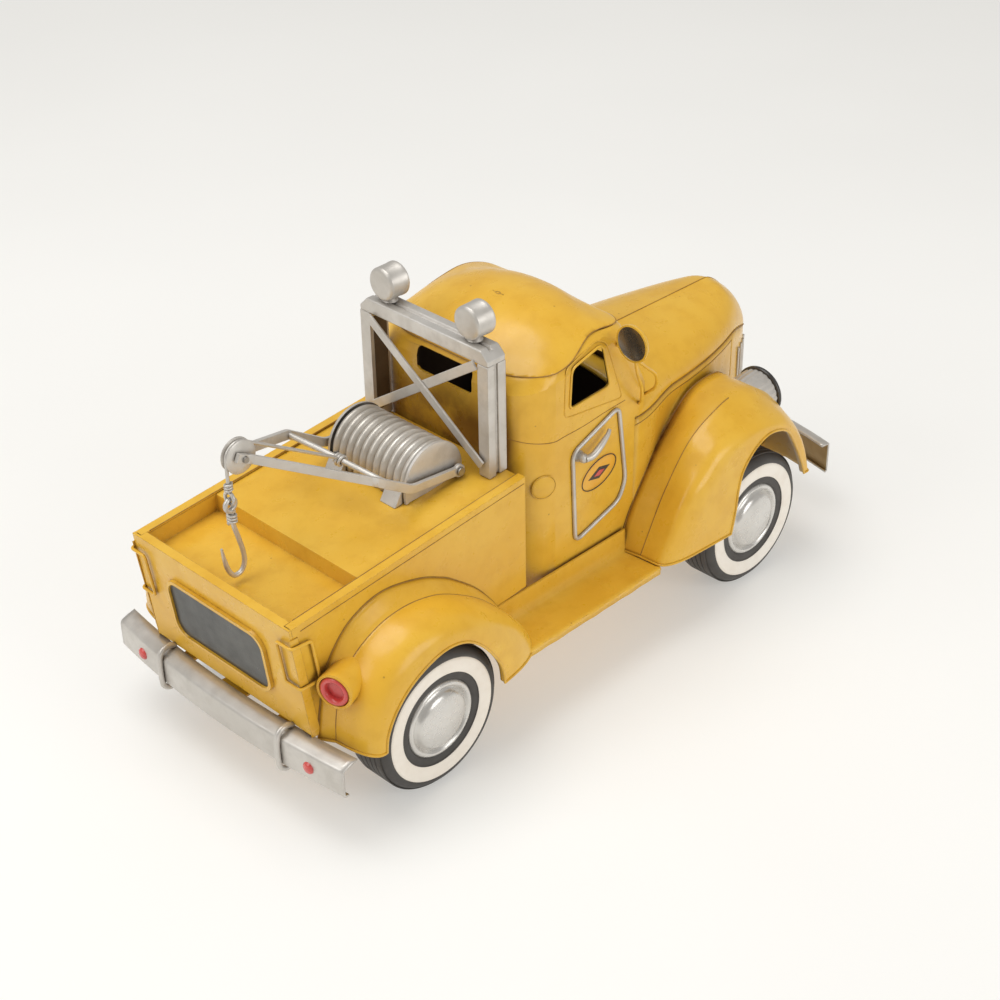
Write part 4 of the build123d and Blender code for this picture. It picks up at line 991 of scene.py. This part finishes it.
REAR_BUMPER_LOW, REAR_BUMPER_HIGH = span("rear_bumper")
bumper("rear_bumper_channel", "rear_bumper", -1, 1, REAR_BUMPER_HIGH.y, REAR_BUMPER_LOW.x, 6.0,
       REAR_BUMPER_LOW.z, REAR_BUMPER_HIGH.z, 8.5, 2.6)
FRONT_BUMPER_LOW, FRONT_BUMPER_HIGH = span("front_bumper")
bumper("front_bumper_channel", "front_bumper", 1, -1, FRONT_BUMPER_HIGH.y - 1.0, FRONT_BUMPER_HIGH.x, 9.0,
       FRONT_BUMPER_LOW.z - 2.5, FRONT_BUMPER_HIGH.z, 7.0, 1.0)


def guards_and_reflectors():
    y, x = -45.0, REAR_BUMPER_LOW.x
    offsets = [(9.5, 51.0), (6.0, 52.6), (1.6, 51.8), (-0.4, 48.0), (-0.9, 41.0), (-0.6, 34.0), (0.2, 30.6),
               (3.5, 28.2), (7.0, 28.8)]
    route = catmull([(x + dx, y, z) for dx, z in offsets], 8)
    made = tube_mesh(resample(route, 60), 1.5, 12)
    silver_piece("bumper_wire_guards", pair(made), "bumper_guards", sharp=70)
    low, high = span("rear_reflectors")
    place = (low.x + 3.2, low.y + 3.4 + 0.3, (low.z + high.z) / 2)
    shape = [(3.3, 0.0), (3.3, -1.2), (3.0, -1.9), (2.2, -2.5), (1.1, -2.8), (0.02, -2.9)]
    mesh_piece("round_reflectors", *pair(along_x(lathe(shape, 40), *place)), [RED],
               nodes=["rear_reflectors"], slot="red_lens", sharp=60)


guards_and_reflectors()


# ---------------- wires of the bed, mirror and tow gear
def gantry_channel_shades():
    """Dark slab on the inner side of each gantry leg: painted shade for the inside of its channel."""
    low, high = span("gantry_leg_right")
    y = high.y + 0.12
    x0, x1, z0, z1 = low.x + 2.2, high.x - 1.2, low.z + 6, high.z - 3
    corners = [(x0, z0), (x1, z0), (x1, z1), (x0, z1)]
    points = [Vector((x, y - d, z)) for d in (0.0, 0.8) for x, z in corners]
    mesh_piece("gantry_channel_painted_shades", *pair((points, SLAB_FACES)), [CHANNEL_SHADE], slot="silver_paint",
               sharp=30, bevel=0.1)


def rim_lines():
    """Brown seams where the folded rim of the bed meets the deck and the tray."""
    low, high = span("bed_side_right")
    rear, front = Vector((low.x + 5.2, 0, 116.5)), Vector((high.x - 1.0, 0, 127.8))
    parts = []
    for side in (-1, 1):
        inner = Vector((0, side * (BODY_Y - 5.1), 0))
        outer = Vector((0, side * (BODY_Y + 0.05), -3.4))
        parts.append((resample([rear + inner, front + inner], 40), 0.24, False))
        parts.append((resample([rear + outer, front + outer], 40), 0.2, False))
    wire_piece("bed_rim_seams", parts, CREASE)


def belt_fold():
    """Fold line round the cab below its windows."""
    outline = []
    for x, z in ((29.0, 138.56), (14.0, 137.96), (-2.0, 136.72), (-17.0, 136.72), (-22.0, 136.52)):
        outline.append(Vector((x, -SIDE_Y - 0.05, z)))
    for k in range(1, 9):
        turn = radians(90 * k / 8)
        outline.append(Vector((-22.4 - 22.15 * sin(turn), -34.0 - 22.15 * cos(turn), 136.5 + 7.0 * k / 8)))
    right = tube_mesh(resample(catmull(outline, 6), 90), 0.2, 8)
    mesh_piece("cab_belt_fold", *pair(right), [CREASE], sharp=60)


def corner_wires():
    low, high = span("corner_loops")
    top, foot, out, r = high.z - 0.9, low.z + 0.9, -low.y - 1.2, 0.85
    x_top, x_foot = low.x + 0.9, low.x + 4.4
    points = [(x_top, -49, top), (x_top, -out, top), (x_top + 12, -out, top - 1), (x_foot + 12, -out, foot),
              (x_foot, -out, foot), (x_foot, -49, foot)]
    made = tube_mesh(resample(rounded_path(points, 2.0, True), 150, True), r, 10, True)
    mesh_piece("corner_wire_loops", *pair(made), [YELLOW], nodes=["corner_loops"], sharp=70)


def mirror_wires():
    low, high = span("mirror_head")
    y, z = (low.y + high.y) / 2, (low.z + high.z) / 2
    socket = (low.x + 3.0, y, low.z + 0.6)
    rear = catmull([(40.5, -SIDE_Y + 0.6, 131.5), (35.5, -61.5, 138.5), (31.0, -65.0, 149.0),
                    (24.0, -68.0, 161.0), socket], 8)
    front = catmull([(47.0, -SIDE_Y + 2.5, 133.5), (45.5, -62.0, 142.0), (40.0, -66.5, 153.0),
                     (29.0, -69.0, 163.0), socket], 8)
    pillar = catmull([(22.0, -53.5, 171.0), (21.5, -60.0, 176.5), (low.x + 3.2, y + 2, z)], 8)
    parts = [(resample(p, 40), 0.85, False) for p in (rear, front, pillar)]
    wire_piece("mirror_wire_stays", parts, YELLOW, nodes=["mirror_stays"])


gantry_channel_shades()
rim_lines()
belt_fold()
corner_wires()
mirror_wires()


def sheave_wheel():
    low, high = span("sheave")
    radius, half = (high.x - low.x) / 2, high.y
    x, z = (low.x + high.x) / 2, (low.z + high.z) / 2
    shape = [(1.6, -half), (radius * 0.5, -half - 0.15), (radius * 0.86, -half), (radius, -half + 0.5),
             (radius, -half + 1.0), (radius * 0.80, -0.9), (radius * 0.62, -0.35), (radius * 0.62, 0.35),
             (radius * 0.80, 0.9), (radius, half - 1.0), (radius, half - 0.5), (radius * 0.86, half),
             (radius * 0.5, half + 0.15), (1.6, half), (1.6, -half)]
    made = placed(lathe(shape, 64), TO_THE_RIGHT, (x, 0, z))
    silver_piece("sheave_wheel", made, "sheave", body="sheave_wheel", sharp=50)


SHEAVE_LOW, SHEAVE_HIGH = span("sheave")
SHEAVE_X, SHEAVE_Z = (SHEAVE_LOW.x + SHEAVE_HIGH.x) / 2, (SHEAVE_LOW.z + SHEAVE_HIGH.z) / 2
HOOK_HIGH = span("hook")[1]
WIRE_R, LAY_R = 0.9, 7.2
DROP_X = SHEAVE_X - LAY_R
EYE_R = 3.0
EYE_Z = HOOK_HIGH.z - 3.6                              # bottom of the wire's eye
EYE_TOP = EYE_Z + 2 * EYE_R


def binding(x, z, radius, turns, rise, count):
    """Wire wound upright round a line: the turns that close an eye."""
    angles = [2 * pi * turns * i / (count - 1) for i in range(count)]
    return [Vector((x + radius * cos(a), radius * sin(a), z + rise * i / (count - 1)))
            for i, a in enumerate(angles)]


def tow_line():
    """Stiff wire: wound on the cross brace, over the sheave, down to a twisted eye."""
    brace_low, brace_high = span("boom_cross_brace")
    left = Vector((brace_low.x + 1.4, brace_high.y - 0.2, brace_high.z - 1.5))
    right = Vector((brace_high.x - 1.4, brace_low.y + 0.2, brace_low.z + 1.5))
    knot = left.lerp(right, 0.52)
    along = (right - left).normalized()
    side = along.cross(Vector((0, 0, 1))).normalized()
    over = side.cross(along)
    coil = []
    for i in range(64):
        turn = 2 * pi * 2.6 * i / 63
        coil.append(knot + along * (4.2 * (i / 63 - 0.5)) + (side * cos(turn) + over * sin(turn)) * 2.45)
    start = knot + Vector((-2.0, 0, 2.4))
    dx, dz = start.x - SHEAVE_X, start.z - SHEAVE_Z
    lift = atan2(dz, dx) + acos(LAY_R / hypot(dx, dz))
    turn_over = [Vector((SHEAVE_X + LAY_R * cos(a), 0, SHEAVE_Z + LAY_R * sin(a)))
                 for a in (lift + (pi - lift) * i / 16 for i in range(17))]
    drop = [Vector((DROP_X, 0, z)) for z in (SHEAVE_Z - 4, SHEAVE_Z - 8, EYE_TOP + 3)]
    run = resample([start] + turn_over + drop, 120)
    eye = []
    for i in range(36):
        a = radians(90 + 350 * i / 35)
        eye.append(Vector((DROP_X + 0.25 - 0.5 * i / 35, EYE_R * cos(a), EYE_Z + EYE_R + EYE_R * sin(a))))
    throat = [Vector((DROP_X, 0.0, EYE_TOP + 3)), Vector((DROP_X + 0.2, 0.2, EYE_TOP + 1))]
    wrap = binding(DROP_X, EYE_TOP + 0.8, 1.55, 3, 4.2, 48)
    parts = [(coil, 0.8, False), (run, WIRE_R, False), (throat + eye, WIRE_R, False), (wrap, 0.7, False)]
    wire_piece("tow_line_wire", parts, SILVER, body="boom", nodes=["tow_cable"], slot="silver_paint")
    mesh_brace = resample(catmull([left, left.lerp(right, 0.35) + Vector((0, 0, 0.5)),
                                   left.lerp(right, 0.7) + Vector((0, 0, 0.2)), right], 8), 50)
    wire_piece("cross_brace_wire", [(mesh_brace, 1.5, False)], SILVER, body="boom",
               nodes=["boom_cross_brace"], slot="silver_paint")


def hook_wire():
    radius = 1.25
    eye_r = 3.0
    eye_z = HOOK_HIGH.z - eye_r - radius
    foot = eye_z - eye_r
    x = DROP_X
    eye = [Vector((x + eye_r * cos(a), 0.5 - 1.0 * i / 35, eye_z + eye_r * sin(a)))
           for i, a in ((i, radians(-84 + 350 * i / 35)) for i in range(36))]
    offsets = [(0.2, -0.2), (0.6, -8), (2.6, -16), (4.6, -25), (4.8, -31), (2.6, -35.2), (-1.6, -35.8),
               (-4.6, -32), (-6.4, -25.5), (-7.6, -18)]
    bend = catmull([(x + dx, 0, foot + dz) for dx, dz in offsets], 10)
    shank = resample(bend, 90)
    taper = [radius * (1.0 if i < 74 else 1.0 - 0.5 * (i - 74) / 15) for i in range(90)]
    wrap = binding(x + 0.25, foot - 1.5, 1.9, 3.5, -5.5, 60)
    made = merge(tube_mesh(eye, radius, 12), tube_mesh(shank, taper, 12), tube_mesh(wrap, 0.75, 8))
    silver_piece("tow_hook_wire", made, "hook", body="hook_swing", sharp=70)


sheave_wheel()
tow_line()
hook_wire()


# ---------------- CAD nodes shown as they are
PAINTS = {"silver_paint": SILVER, "steel": STEEL, "tyre": RUBBER, "red_lens": RED, "clear_lens": LENS,
          "black_paint": BLACK, "dark_panel": PANEL, "mirror": SMOKE, "dark_interior": DARK,
          "yellow_paint": YELLOW}
SLOT_OF = {part["node"]: part["material_slot"] for part in frame["record"]["subparts"]}
EDGE_WIDTH = {"gantry_leg_left": 0.7, "gantry_leg_right": 0.7, "gantry_beam": 0.8, "bed_side_left": 0.5,
              "bed_side_right": 0.5, "tailgate": 0.45, "winch_base": 0.5, "seat_bench": 2.0}
for name, piece in frame["nodes"].items():
    if piece.hide_render:
        continue
    piece.data.materials.clear()
    piece.data.materials.append(CAB_YELLOW if name == "cab_body" else PAINTS[SLOT_OF[name]])
    weld = piece.modifiers.new("weld", "WELD")
    weld.merge_threshold = 2e-6
    soften(piece, EDGE_WIDTH.get(name, 0.35), 2)


# ---------------- floor, light and camera
SENSOR_MM, LENS_MM = 36.0, 71.352
CAMERA_PLACE = (-0.635626, -0.629184, 0.648131)
CAMERA_RIGHT = (0.7009, -0.71314, -0.01321)
CAMERA_UP = (0.39663, 0.37429, 0.83821)
CAMERA_BACK = (-0.59281, -0.59274, 0.54519)
FLOOR_HALF = 60.0


def floor():
    mesh = bpy.data.meshes.new("studio_floor")
    corners = [(FLOOR_HALF * i, FLOOR_HALF * j, 0) for i, j in ((-1, -1), (1, -1), (1, 1), (-1, 1))]
    mesh.from_pydata(corners, [], [(0, 1, 2, 3)])
    piece = bpy.data.objects.new("studio_floor", mesh)
    material, tree = new_material("floor_paper")
    place = node(tree, "TexCoord").outputs["Object"]
    grain = ramp(tree, cloud(tree, place, 3.0), 0.3, 0.7)
    colour = mix(tree, grain, (0.60, 0.595, 0.575), (0.62, 0.615, 0.595))
    glow = {"Emission Color": (1.0, 0.985, 0.945, 1.0), "Emission Strength": 0.36}
    shader = node(tree, "BsdfPrincipled", {"Base Color": colour, "Roughness": 0.95, **glow})
    node(tree, "OutputMaterial", {"Surface": shader.outputs[0]})
    mesh.materials.append(material)
    bpy.context.scene.collection.objects.link(piece)


def area_light(name, place, aim, size, power, colour=(1, 1, 1)):
    data = bpy.data.lights.new(name, "AREA")
    data.shape, data.size, data.energy, data.color = "DISK", size, power, colour
    light = bpy.data.objects.new(name, data)
    light.location = place
    light.rotation_euler = (Vector(aim) - Vector(place)).to_track_quat("-Z", "Y").to_euler()
    bpy.context.scene.collection.objects.link(light)


def light_and_camera():
    world = bpy.data.worlds.new("studio")
    world.use_nodes = True
    background = world.node_tree.nodes["Background"]
    background.inputs[0].default_value = (1.0, 0.985, 0.96, 1.0)
    background.inputs[1].default_value = 0.42
    scene = bpy.context.scene
    scene.world = world
    scene.view_settings.view_transform = "Standard"
    area_light("overhead", (-0.25, 0.25, 1.5), (0, 0, 0.1), 1.1, 10.5)
    area_light("left_softbox", (-1.1, 0.35, 0.9), (0, 0, 0.1), 0.9, 4.5)
    area_light("right_fill", (0.2, -1.5, 0.7), (0, 0, 0.08), 1.0, 7.6)
    data = bpy.data.cameras.new("view")
    data.sensor_width = SENSOR_MM
    data.lens = LENS_MM
    data.clip_start, data.clip_end = 0.01, 300.0
    camera = bpy.data.objects.new("view", data)
    turn = Matrix((CAMERA_RIGHT, CAMERA_UP, CAMERA_BACK)).transposed()
    camera.matrix_world = Matrix.Translation(CAMERA_PLACE) @ turn.to_4x4()
    scene.collection.objects.link(camera)
    scene.camera = camera


floor()
light_and_camera()
